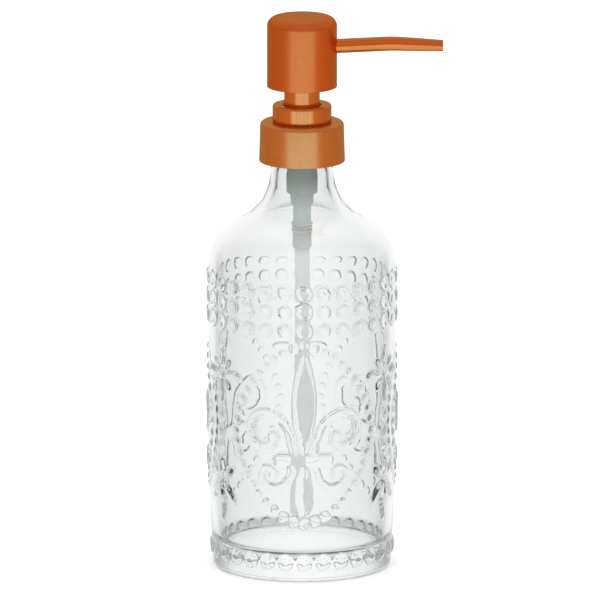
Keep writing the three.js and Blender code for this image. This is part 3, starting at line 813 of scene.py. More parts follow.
@dataclass
class Motifs:
    """The bottle's ornaments, drawn round the glass as (across, up) from each one's middle."""

    relief: Relief
    count: int = 3
    beads_per_row: int = 30
    bead_radius: float = 3.15
    bead_rise: float = 1.0
    foot_row: float = 8.5
    top_rows: tuple[float, ...] = (124.5, 116.4, 108.3)
    rise: float = 1.0
    bar_height: float = 52.9
    bar_reach: float = 10.2
    bar_half: float = 3.0
    bar_rise: float = 1.35
    petal_tip: float = 98.0
    petal_half: float = 4.95
    spear_tip: float = 28.8
    spear_half: float = 4.5
    leaf_point: float = 0.25
    frame_half_width: float = 32.0
    frame_half_height: float = 38.5
    frame_centre: float = 63.7
    frame_power: float = 1.6
    frame_steps: int = 720
    pearl_radius: float = 1.75
    pearl_rise: float = 0.75
    pearl_spacing: float = 5.0
    star_centre: float = 86.5
    petals: int = 8
    petal_root: float = 2.6
    short_petal: Point = (8.8, 1.5)
    long_petal: Point = (12.8, 2.2)
    under_star: tuple[float, ...] = (68.0, 61.0, 54.0)
    spacing: float = 0.3
    offset: float = 0.75

    def draw(self) -> None:
        """Draws the bead rows, then a lily and a star in each sector."""
        sector = FULL_TURN * self.relief.radius / self.count
        for height in (self.foot_row, *self.top_rows):
            self.bead_row(height)
        for k in range(self.count):
            self.lily(self.offset + k * sector)
            self.pearl_frame(self.offset + k * sector)
            self.star(self.offset + (k + 0.5) * sector)

    def bead_row(self, height: float) -> None:
        """Draws one row of beads all round.

        Args:
            height: the height of the beads' middles.
        """
        step = FULL_TURN * self.relief.radius / self.beads_per_row
        for k in range(self.beads_per_row):
            spot = (self.offset + k * step, height)
            self.relief.stamp(*spot, self.bead_radius, self.bead_rise, Crown.BUTTON)

    def leaf(
        self,
        start: Point,
        end: Point,
        half: float,
        widest: float,
        middle: float,
        crown: Crown = Crown.CAP,
    ) -> None:
        """Draws a pointed leaf.

        Args:
            start: its root, as (across, up) from the motif's middle.
            end: its tip.
            half: its greatest half-width.
            widest: where along its length that is.
            middle: the motif's place round the glass.
            crown: its section.
        """
        length = math.dist(start, end)
        count = max(3, round(length / self.spacing))
        path = [
            (
                middle + start[0] + (end[0] - start[0]) * k / count,
                start[1] + (end[1] - start[1]) * k / count,
            )
            for k in range(count + 1)
        ]

        def width(share: float) -> float:
            """The leaf's half-width at a share of its length.

            Args:
                share: how far along the leaf, from nought to one.

            Returns:
                The half-width in millimetres.
            """
            side = share / widest if share < widest else (1 - share) / (1 - widest)
            swell = math.sin(side * math.pi / 2) ** 0.9
            return self.leaf_point + (half - self.leaf_point) * swell

        self.relief.stroke(path, width, self.rise, crown)

    def lily(self, middle: float) -> None:
        """Draws the lily: petal, spear, bar and two pairs of curls.

        Args:
            middle: where the lily's middle is across the body.
        """
        reach = self.steps(-self.bar_reach, self.bar_reach)
        bar = [(middle + across, self.bar_height) for across in reach]
        self.relief.stroke(bar, lambda _: self.bar_half, self.bar_rise, Crown.ROD)
        petal_root, spear_root = (0, self.bar_height + 1), (0, self.bar_height - 2)
        self.leaf(petal_root, (0, self.petal_tip), self.petal_half, 0.53, middle)
        self.leaf(spear_root, (0, self.spear_tip), self.spear_half, 0.66, middle, Crown.ROOF)
        upper = [(4.2, 55.5), (5.4, 62.5), (8.4, 68.8), (13.2, 72.2), (18.0, 73.0), (22.0, 70.6)]
        upper += [(23.6, 65.6), (22.0, 60.6), (18.0, 58.2), (14.0, 59.2), (12.6, 62.6)]
        lower = [(5.2, 50.5), (5.9, 46.6), (8.4, 42.6), (12.4, 41.0), (16.6, 42.6)]
        lower += [(18.2, 46.4), (16.2, 49.3), (13.2, 48.4), (12.9, 46.6)]
        for side in (-1, 1):
            for points, start, widest in ((upper, 1.3, 2.1), (lower, 1.2, 1.65)):
                path = smooth_path([(middle + side * x, z) for x, z in points], self.spacing)
                self.relief.stroke(path, self.ribbon(start, widest), self.rise, Crown.ROD)
            self.relief.stamp(middle + side * 13.2, 62.9, 2.7, self.rise + 0.1, Crown.CAP)
            self.relief.stamp(middle + side * 13.6, 46.6, 1.9, self.rise, Crown.CAP)

    def ribbon(self, start: float, widest: float) -> Callable[[float], float]:
        """A curl's half-width: it swells from its root and narrows a little to its eye."""
        return lambda share: start + (widest - start) * math.sin(min(share * 2.2, 1.35))

    def steps(self, low: float, high: float) -> list[float]:
        """Evenly spaced values from low to high at the drawing's spacing."""
        count = round((high - low) / self.spacing)
        return [low + (high - low) * k / count for k in range(count + 1)]

    def pearl_frame(self, middle: float) -> None:
        """Draws the string of pearls round a lily on a rounded lozenge.

        Args:
            middle: where the frame's middle is across the body.
        """
        lozenge: list[Point] = []
        for k in range(self.frame_steps + 1):
            angle = FULL_TURN * k / self.frame_steps
            cos, sin = math.cos(angle), math.sin(angle)
            across = math.copysign(abs(cos) ** (2 / self.frame_power), cos)
            up = math.copysign(abs(sin) ** (2 / self.frame_power), sin)
            lozenge.append((across * self.frame_half_width, up * self.frame_half_height))
        girth = sum(math.dist(a, b) for a, b in zip(lozenge, lozenge[1:]))
        pearls = 4 * round(girth / self.pearl_spacing / 4)
        walked, due = 0.0, 0.0
        for a, b in zip(lozenge, lozenge[1:]):
            if walked >= due:
                spot = (middle + a[0], self.frame_centre + a[1])
                self.relief.stamp(*spot, self.pearl_radius, self.pearl_rise, Crown.CAP)
                due += girth / pearls
            walked += math.dist(a, b)

    def star(self, middle: float) -> None:
        """Draws a star flower, the beads under it and the sprig at the foot.

        Args:
            middle: where the star's middle is across the body.
        """
        for k in range(self.petals):
            angle = k * math.pi / 4
            reach, half = self.short_petal if k % 2 else self.long_petal
            sin, cos = math.sin(angle), math.cos(angle)
            start = (self.petal_root * sin, self.star_centre + self.petal_root * cos)
            end = (reach * sin, self.star_centre + reach * cos)
            self.leaf(start, end, half, 0.6, middle)
        self.relief.stamp(middle, self.star_centre, 1.7, self.rise, Crown.CAP)
        for height in self.under_star:
            self.relief.stamp(middle, height, 2.4, self.rise, Crown.CAP)
        self.leaf((0, 49.5), (0, 42.5), 2.2, 0.5, middle)
        self.leaf((0, 40.5), (0, 22.5), 2.7, 0.45, middle)
        for side in (-1, 1):
            self.leaf((side * 1.5, 40.0), (side * 9.0, 31.5), 2.0, 0.55, middle)
            self.leaf((side * 1.5, 42.5), (side * 8.0, 46.5), 1.6, 0.55, middle)


# ---------------------------------------------------------------------------- bottle


@dataclass
class Bottle:
    """The glass bottle: a thick-walled body with raised ornament and a screw neck."""

    body_radius: float = 39.5
    base_taper: float = 2.0
    taper_height: float = 70.0
    heel_round: float = 3.2
    shoulder_foot: float = 124.0
    shoulder_rise: float = 46.0
    wall: float = 3.8
    base: float = 9.5
    floor_round: float = 6.0
    neck_radius: float = 12.55
    neck_bore: float = 9.85
    neck_bulge: float = 0.75
    lip_round: float = 0.7
    thread_rise: float = 1.12
    thread_pitch: float = 4.233
    thread_start: float = 9.5
    thread_turns: float = 1.25
    relief_foot: float = 4.6
    relief_top: float = 129.1
    relief_pitch: float = 0.75
    shoulder_row: float = 124.4
    shoulder_join: float = 129.4
    neck_rise: float = 3.25
    neck_pitch: float = 0.45
    bulge_rise: float = 2.5
    rim_depth: float = 1.5
    cup_height: float = 35.0
    flank_half: float = 1.15
    flank_width: float = 0.6
    ends_per_turn: float = 12.0
    thread_zone: float = 171.0
    relief_zone: float = 134.0
    relief_depth: float = 2.2
    columns: int = 390

    def radius_at(self, height: float) -> float:
        """Plain outside radius of the body at a height."""
        share = min(max(height / self.taper_height, 0.0), 1.0)
        return self.body_radius - self.base_taper * (1 - share) ** 2

    def shoulder(self) -> list[Point]:
        """The outside curve from the body to the neck root, evenly enough sampled.

        Returns:
            Points as (radius, height) in millimetres.
        """
        width = self.body_radius - self.neck_radius - self.neck_bulge

        def at(inward: float, up: float) -> Point:
            """A point at shares of the shoulder's width and rise.

            Args:
                inward: the share of the shoulder's width, from the body inwards.
                up: the share of the shoulder's rise.

            Returns:
                The point as (radius, height).
            """
            return (
                self.body_radius - inward * width,
                self.shoulder_foot + up * self.shoulder_rise,
            )

        first = bezier([at(0, 0.01), at(0, 0.3), at(0.08, 0.37), at(0.305, 0.463)], 22)
        second = bezier([at(0.305, 0.463), at(0.56, 0.574), at(0.962, 0.613), at(1, 1)], 30)
        return first + second[1:]

    def inner_shoulder(self) -> list[Point]:
        """The shoulder's curve one wall inside the glass, from the neck down.

        Returns:
            Points as (radius, height) in millimetres.
        """
        curve = self.shoulder()[::3]
        inside: list[Point] = []
        for before, here, after in zip(curve, curve[1:], curve[2:]):
            along = (Vector(after) - Vector(before)).normalized()
            radius, height = here[0] - self.wall * along.y, here[1] + self.wall * along.x
            if radius > self.neck_bore + 0.3:
                inside.append((radius, height))
        return inside[::-1]

    def outline(self, lip: float) -> list[Point]:
        """The whole section from the foot's middle to the floor's middle.

        Args:
            lip: the lip's height in millimetres.

        Returns:
            Points as (radius, height) in millimetres.
        """
        heel = rounded(
            [
                (0, 0, 0),
                (self.radius_at(0), 0, self.heel_round),
                (self.radius_at(self.relief_foot), self.relief_foot, 0),
            ],
            closed=False,
            steps=8,
        )
        rows = round((self.relief_top - self.relief_foot) / self.relief_pitch)
        heights = [self.relief_foot + k * self.relief_pitch for k in range(1, rows + 1)]
        rows_below = [height for height in heights if height < self.shoulder_row]
        body = [(self.radius_at(height), height) for height in rows_below]
        shoulder = [spot for spot in self.shoulder() if spot[1] > self.shoulder_join]
        bridge = [(self.shoulder_radius(h), h) for h in heights[len(rows_below) :]]
        root = self.shoulder_foot + self.shoulder_rise
        neck_foot = root + self.neck_rise
        neck_rows = round((lip - self.lip_round - neck_foot) / self.neck_pitch)
        neck = [
            (self.neck_radius, neck_foot + (lip - self.lip_round - neck_foot) * k / neck_rows)
            for k in range(neck_rows + 1)
        ]
        rim = rounded(
            [
                (self.neck_radius, lip - self.rim_depth, 0),
                (self.neck_radius, lip, self.lip_round),
                (self.neck_bore, lip, self.lip_round),
                (self.neck_bore, root + 4, 0),
            ],
            closed=False,
            steps=5,
        )[1:]
        inner_floor = self.radius_at(self.base + self.floor_round) - self.wall
        cup = rounded(
            [
                (self.body_radius - self.wall, self.taper_height, 0),
                (self.radius_at(self.cup_height) - self.wall, self.cup_height, 0),
                (inner_floor, self.base, self.floor_round),
                (0, self.base, 0),
            ],
            closed=False,
            steps=8,
        )
        bulge = [(self.neck_radius + self.neck_bulge, root + self.bulge_rise)]
        return heel + body + bridge + shoulder + bulge + neck + rim + self.inner_shoulder() + cup

    def shoulder_radius(self, height: float) -> float:
        """Outside radius of the shoulder's foot at a height, between its sampled points.

        Args:
            height: a height in millimetres.

        Returns:
            The radius in millimetres.
        """
        curve = self.shoulder()
        for (r0, z0), (r1, z1) in zip(curve, curve[1:]):
            if z0 <= height <= z1:
                return r0 + (r1 - r0) * (height - z0) / (z1 - z0)
        return self.body_radius

    def thread_lift(self, angle: float, height: float, lip: float) -> float:
        """How far the neck's screw ridge stands out at a place on the neck.

        Args:
            angle: the angle about the axis in radians.
            height: the height in millimetres.
            lip: the lip's height in millimetres.

        Returns:
            How far the thread stands out there.
        """
        best = 0.0
        for turn in range(-1, 3):
            travelled = angle / FULL_TURN + turn
            if 0 <= travelled <= self.thread_turns:
                middle = lip - self.thread_start + travelled * self.thread_pitch
                offset = abs(height - middle)
                ends = min(travelled, self.thread_turns - travelled) * self.ends_per_turn
                flank = min(max((self.flank_half - offset) / self.flank_width, 0.0), 1.0)
                best = max(best, self.thread_rise * flank * min(ends, 1.0))
        return best

    def build(self) -> Pieces:
        """Spins the section and lifts its outside by the ornament and the thread.

        Returns:
            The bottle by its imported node.
        """
        lip = Span.of("glass_bottle").top
        relief = Relief(
            self.columns, self.relief_foot, self.relief_pitch, self.body_radius
        )
        Motifs(relief).draw()
        work = spun(self.outline(lip), self.columns, closed=False)
        for vert in work.verts:
            height = vert.co.z / MM
            reach = math.hypot(vert.co.x, vert.co.y) / MM
            if reach < self.neck_radius - 0.3:
                continue
            angle = math.atan2(vert.co.y, vert.co.x) % FULL_TURN
            if height > self.thread_zone and reach < self.neck_radius + 0.05:
                lift = self.thread_lift(angle, height, lip)
            elif height < self.relief_zone and reach > self.radius_at(height) - self.relief_depth:
                front = (angle + math.pi / 2) % FULL_TURN
                column = round(front / FULL_TURN * self.columns)
                row = round((height - self.relief_foot) / self.relief_pitch)
                lift = relief.lift_at(column, row)
            else:
                lift = 0.0
            if lift:
                vert.co.x *= 1 + lift / reach
                vert.co.y *= 1 + lift / reach
        return {"glass_bottle": mesh_object("bottle_glass", work, crease=60.0)}

    def dress(self, pieces: Pieces) -> None:
        """Gives the bottle its glass and its body."""
        place(pieces["glass_bottle"], "glass_bottle", Body.BOTTLE, GLASS)


# ------------------------------------------------------------------------- pump unit


@dataclass
class PumpUnit:
    """What hangs in the neck: housing, gasket, stem guide, ring, valve and dip tube."""

    gap: float = GAP
    guide_bore: float = 8.0
    guide_wall: float = 0.65
    housing_bore: float = 8.8
    housing_radius: float = 9.5
    flange_thickness: float = 1.2
    guide_shoulder: float = 10.9
    plate_foot: float = 188.65
    ring_wall: float = 0.45
    ring_round: float = 0.9
    rim_round: float = 0.7
    rim_drop: float = 0.95
    web: float = 0.75
    stem_hole: float = 3.5
    rod_travel: float = 12.3
    funnel_drop: float = 0.85
    cylinder_bore: float = 5.6
    cylinder_radius: float = 6.6
    pocket_bore: float = 4.1
    pocket_radius: float = 5.1
    pocket_depth: float = 6.0
    ball_bore: float = 2.6
    ball_bore_depth: float = 10.0
    inlet_radius: float = 3.85
    seat_thickness: float = 3.2
    seat_hole: float = 1.3
    socket_radius: float = 4.0
    rib: float = 0.75
    tube_radius: float = 3.15
    tube_wall: float = 0.65
    tube_bow: float = 1.9
    tube_stations: int = 40
    sides: int = 96

    def build(self) -> Pieces:
        """Builds each piece.

        Returns:
            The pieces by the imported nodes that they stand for.
        """
        return {
            "neck_gasket": self.gasket(),
            "pump_housing": self.housing(),
            "stem_guide": self.guide(),
            "ring_shell": self.ring(),
            "dip_tube": self.dip_tube(),
            "ball_retainer": self.retainer(),
            "inlet_ball": valve_ball("inlet_ball"),
        }

    def dress(self, pieces: Pieces) -> None:
        """Gives each piece its finish and its body.

        Args:
            pieces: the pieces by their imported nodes.
        """
        place(pieces["neck_gasket"], "neck_gasket", Body.PUMP, RUBBER)
        place(pieces["pump_housing"], "pump_housing", Body.PUMP, NATURAL)
        place(pieces["stem_guide"], "stem_guide", Body.PUMP, WHITE)
        place(pieces["ring_shell"], "ring_shell", Body.PUMP, BRIGHT_COPPER)
        place(pieces["dip_tube"], "dip_tube", Body.PUMP, MILKY)
        place(pieces["ball_retainer"], "ball_retainer", Body.PUMP, WHITE)
        place(pieces["inlet_ball"], "inlet_ball", Body.INLET, STEEL)

    def gasket(self) -> bpy.types.Object:
        """The flat washer on the bottle's lip.

        Returns:
            The finished object.
        """
        span = Span.of("neck_gasket")
        inner = self.housing_radius + self.gap
        corners = [
            (inner, span.foot, 0.15),
            (span.radius, span.foot, 0.15),
            (span.radius, span.top, 0.15),
            (inner, span.top, 0.15),
        ]
        return mesh_object("gasket_washer", spun(rounded(corners, steps=2), self.sides))

    def housing(self) -> bpy.types.Object:
        """The stepped housing with its cylinder, spring pocket, valve seat and tube socket.

        Returns:
            The finished object.
        """
        span = Span.of("pump_housing")
        flange_foot = span.top - self.flange_thickness
        cylinder_top = Span.of("stem_guide").foot - self.gap
        cylinder_foot = Span.of("piston_rod").foot - self.rod_travel
        pocket_foot = cylinder_foot - self.pocket_depth
        seat = pocket_foot - self.ball_bore_depth
        socket_top = seat - self.seat_thickness
        socket_bore = self.tube_radius + self.gap
        funnel = cylinder_top - self.funnel_drop
        corners = [
            (socket_bore, span.foot, 0.2),
            (self.socket_radius, span.foot, 0.25),
            (self.socket_radius, socket_top - 0.5, 0.1),
            (self.socket_radius + self.rib - 0.3, socket_top - 0.5, 0.25),
            (self.socket_radius + self.rib - 0.3, socket_top + 0.5, 0.25),
            (self.inlet_radius, socket_top + 0.5, 0.1),
            (self.inlet_radius, socket_top + 1.2, 0.1),
            (self.inlet_radius + self.rib - 0.2, socket_top + 1.2, 0.2),
            (self.inlet_radius + self.rib - 0.2, socket_top + 1.7, 0.2),
            (self.inlet_radius, socket_top + 1.7, 0.1),
            (self.inlet_radius, seat - 0.7, 0.1),
            (self.inlet_radius + self.rib, seat - 0.7, 0.25),
            (self.inlet_radius + self.rib, seat + 0.3, 0.25),
            (self.inlet_radius, seat + 0.3, 0.1),
            (self.inlet_radius, pocket_foot - 0.6, 0.2),
            (self.pocket_radius - 0.45, pocket_foot - 0.6, 0.3),
            (self.pocket_radius, cylinder_foot - 1.1, 0.2),
            (self.cylinder_radius - 0.4, cylinder_foot - 1.1, 0.3),
            (self.cylinder_radius, cylinder_foot - 0.5, 0.3),
            (self.cylinder_radius, funnel - 5.5, 0.4),
            (self.housing_radius, funnel - 1.2, 0.6),
            (self.housing_radius, flange_foot, 0.2),
            (span.radius, flange_foot, 0.25),
            (span.radius, span.top, 0.25),
            (self.housing_bore, span.top, 0.2),
            (self.housing_bore, cylinder_top, 0.2),
            (self.cylinder_bore, cylinder_top, 0.2),
            (self.cylinder_bore, cylinder_foot, 0.3),
            (self.pocket_bore, cylinder_foot, 0.2),
            (self.pocket_bore, pocket_foot, 0.2),
            (self.ball_bore, pocket_foot, 0.2),
            (self.ball_bore, seat, 0.3),
            (self.seat_hole, seat, 0.15),
            (self.seat_hole, socket_top, 0.15),
            (socket_bore, socket_top, 0.1),
        ]
        return mesh_object("housing_barrel", spun(rounded(corners, steps=3), self.sides))

    def guide(self) -> bpy.types.Object:
        """The white guide that snaps into the housing and steers the stem.

        Returns:
            The finished object.
        """
        span = Span.of("stem_guide")
        ring = Span.of("ring_shell")
        barrel = self.guide_bore + self.guide_wall
        web_top = span.foot + self.web
        corners = [
            (self.stem_hole, span.foot, 0.2),
            (barrel, span.foot, 0.3),
            (barrel, self.plate_foot, 0.1),
            (self.guide_shoulder, self.plate_foot, 0.2),
            (self.guide_shoulder, ring.foot, 0.1),
            (span.radius, ring.foot, 0.2),
            (span.radius, span.top, 1.0),
            (self.guide_bore, span.top, 0.3),
            (self.guide_bore, web_top, 0.3),
            (self.stem_hole, web_top, 0.2),
        ]
        return mesh_object("guide_bush", spun(rounded(corners, steps=4), self.sides))

    def ring(self) -> bpy.types.Object:
        """The copper ring over the guide, with its rim turned in round the sleeve.

        Returns:
            The finished object.
        """
        span = Span.of("ring_shell")
        inner = span.radius - self.ring_wall
        corners = [
            (inner, span.foot, 0.1),
            (span.radius, span.foot, 0.22),
            (span.radius, span.top, self.ring_round),
            (self.guide_bore + 0.1, span.top, self.rim_round),
            (self.guide_bore + 0.1, span.top - self.rim_drop, 0.15),
            (self.guide_bore + 0.1 + self.ring_wall, span.top - self.rim_drop, 0.15),
            (self.guide_bore + 0.1 + self.ring_wall, span.top - self.ring_wall, 0.3),
            (inner, span.top - self.ring_wall, 0.5),
        ]
        return mesh_object("ring_plated", spun(rounded(corners, steps=6), 160))

    def dip_tube(self) -> bpy.types.Object:
        """The milky tube that bows from its socket down to the floor of the bottle.

        Returns:
            The finished object.
        """
        span = Span.of("dip_tube")
        drop = span.top - span.foot
        leans = [(0.0, 0.0), (-0.1, 0.25), (0.05, 0.5), (0.75, 0.75), (1.0, 1.0)]
        route = smooth_path(leans, 1 / self.tube_stations)
        path = [
            Vector((-self.tube_bow * lean * MM, 0.0, (span.top - share * drop) * MM))
            for lean, share in route
        ]
        bore = (self.tube_radius - self.tube_wall) * MM
        work = swept(path, self.tube_radius * MM, 48, bore)
        return mesh_object("tube_milky", work)

    def retainer(self) -> bpy.types.Object:
        """The cage that keeps the inlet ball near its seat and carries the spring.

        Returns:
            The finished object.
        """
        span = Span.of("ball_retainer")
        flange = span.top - 1.0
        corners = [
            (1.5, span.foot, 0.15),
            (self.ball_bore - self.gap, span.foot, 0.2),
            (self.ball_bore - self.gap, flange, 0.1),
            (span.radius, flange, 0.15),
            (span.radius, span.top, 0.2),
            (1.5, span.top, 0.2),
        ]
        return mesh_object("retainer_cage", spun(rounded(corners, steps=2), 48))


# --------------------------------------------------------------------------- closure


@dataclass
class Closure:
    """The screw closure: a threaded white cap inside a copper collar."""

    cap_bore: float = 14.05
    plate_hole: float = 11.2
    plate_foot: float = 188.65
    collar_wall: float = 0.5
    collar_flare: float = 0.5
    collar_round: float = 1.7
    collar_foot_round: float = 0.45
    thread_pitch: float = 4.233
    thread_drop: float = 9.5
    thread_turns: float = 1.0
    thread_half: float = 0.8
    thread_sink: float = 0.1
    sides: int = 200

    def build(self) -> Pieces:
        """Builds the cap and the collar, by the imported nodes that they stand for."""
        return {"closure_cap": self.cap(), "collar_shell": self.collar()}

    def dress(self, pieces: Pieces) -> None:
        """Gives the cap and the collar their finishes and their body."""
        place(pieces["closure_cap"], "closure_cap", Body.CLOSURE, WHITE)
        place(pieces["collar_shell"], "collar_shell", Body.CLOSURE, COLLAR_COPPER)

    def cap(self) -> bpy.types.Object:
        """The threaded cap.

        Returns:
            The finished object.
        """
        span = Span.of("closure_cap")
        corners = [
            (self.cap_bore, span.foot, 0.4),
            (span.radius, span.foot, 0.3),
            (span.radius - 0.5, span.top, 1.6),
            (self.plate_hole, span.top, 0.2),
            (self.plate_hole, self.plate_foot, 0.2),
            (self.cap_bore, self.plate_foot, 0.4),
        ]
        cap = mesh_object("cap_threaded", spun(rounded(corners, steps=3), 120))
        rise = self.thread_pitch * self.thread_turns
        path = helix(
            self.cap_bore - self.thread_sink, self.first_thread(), rise, self.thread_turns, 60
        )
        join(cap, mesh_object("thread_tool", swept(path, self.thread_half * MM, 12)))
        return cap

    def first_thread(self) -> float:
        """Height of the cap's first turn: half a pitch above the neck's first turn."""
        return Span.of("glass_bottle").top - self.thread_drop + self.thread_pitch / 2

    def collar(self) -> bpy.types.Object:
        """The copper collar, slightly wider at its foot, with a rolled edge.

        Returns:
            The finished object.
        """
        span = Span.of("collar_shell")
        top_radius = span.radius - self.collar_flare
        inner_top = top_radius - self.collar_wall
        corners = [
            (span.radius - self.collar_wall, span.foot, 0.15),
            (span.radius, span.foot, self.collar_foot_round * 0.6),
            (top_radius, span.top, self.collar_round),
            (self.plate_hole, span.top, 0.2),
            (self.plate_hole, span.top - self.collar_wall, 0.15),
            (inner_top, span.top - self.collar_wall, self.collar_round - self.collar_wall),
        ]
        return mesh_object("collar_plated", spun(rounded(corners, steps=8), self.sides))


# --------------------------------------------------------------------------- plunger


@dataclass
class Plunger:
    """The moving column: rod, seal, stem and outlet ball, with the return spring under it."""

    stem_radius: float = 3.2
    stem_bore: float = 1.7
    seat_hole: float = 1.2
    seat_height: float = 3.0
    rod_bore: float = 0.8
    rod_flange: float = 1.0
    seal_lip: float = 0.9
    spring_turns: float = 6.0
    spring_wire: float = 0.7
    spring_radius: float = 3.1
    wire_share: float = 0.96
    chords_per_turn: int = 28
    stroke: float = 12.0
    sides: int = 48

    def build(self) -> Pieces:
        """Builds each piece.

        Returns:
            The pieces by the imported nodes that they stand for.
        """
        return {
            "piston_rod": self.rod(),
            "piston_seal": self.seal(),
            "pump_stem": self.stem(),
            "outlet_ball": valve_ball("outlet_ball"),
            "return_spring": self.spring(),
        }

    def dress(self, pieces: Pieces) -> None:
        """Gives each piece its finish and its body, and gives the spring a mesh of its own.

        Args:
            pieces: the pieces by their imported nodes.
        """
        place(pieces["piston_rod"], "piston_rod", Body.PLUNGER, WHITE)
        place(pieces["piston_seal"], "piston_seal", Body.PLUNGER, MILKY)
        place(pieces["pump_stem"], "pump_stem", Body.PLUNGER, WHITE)
        place(pieces["outlet_ball"], "outlet_ball", Body.OUTLET, STEEL)
        spring = pieces["return_spring"]
        place(spring, "return_spring", Body.PUMP, STEEL)
        span = Span.of("return_spring")
        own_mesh(spring)

    def rod(self) -> bpy.types.Object:
        """The hollow rod that holds the seal and plugs into the stem.

        Returns:
            The finished object.
        """
        span = Span.of("piston_rod")
        neck = self.stem_bore - GAP
        corners = [
            (self.rod_bore, span.foot, 0.15),
            (span.radius, span.foot, 0.2),
            (span.radius, span.foot + self.rod_flange, 0.2),
            (neck, span.foot + self.rod_flange, 0.1),
            (neck, span.top, 0.3),
            (self.rod_bore, span.top, 0.15),
        ]
        return mesh_object("rod_hollow", spun(rounded(corners, steps=2), self.sides))

    def seal(self) -> bpy.types.Object:
        """The two-lipped seal that wipes the cylinder.

        Returns:
            The finished object.
        """
        span = Span.of("piston_seal")
        lip = span.radius
        corners = [
            (self.stem_bore, span.foot, 0.1),
            (lip - 0.5, span.foot, 0.15),
            (lip, span.foot + self.seal_lip / 2, 0.15),
            (lip - 0.4, span.foot + self.seal_lip, 0.15),
            (lip - 0.4, span.top - self.seal_lip, 0.15),
            (lip, span.top - self.seal_lip / 2, 0.15),
            (lip - 0.5, span.top, 0.15),
            (self.stem_bore, span.top, 0.1),
        ]
        return mesh_object("seal_lipped", spun(rounded(corners, steps=2), self.sides))

    def stem(self) -> bpy.types.Object:
        """The stem, with the outlet seat at its top.

        Returns:
            The finished object.
        """
        span = Span.of("pump_stem")
        corners = [
            (self.stem_bore, span.foot, 0.2),
            (self.stem_radius, span.foot, 0.3),
            (self.stem_radius, span.top, 0.3),
            (self.seat_hole, span.top, 0.2),
            (self.seat_hole, span.top - self.seat_height, 0.1),
            (self.stem_bore, span.top - self.seat_height, 0.2),
        ]
        return mesh_object("stem_hollow", spun(rounded(corners, steps=2), self.sides))

    def spring(self) -> bpy.types.Object:
        """The coil spring between the retainer and the rod.

        Returns:
            The finished object.
        """
        span = Span.of("return_spring")
        wire = self.spring_wire / 2
        rise = span.top - span.foot - self.spring_wire
        count = round(self.spring_turns * self.chords_per_turn)
        path = helix(self.spring_radius, span.foot + wire, rise, self.spring_turns, count)
        return mesh_object("spring_coil", swept(path, wire * self.wire_share * MM, 10))


# ------------------------------------------------------------------------------ head


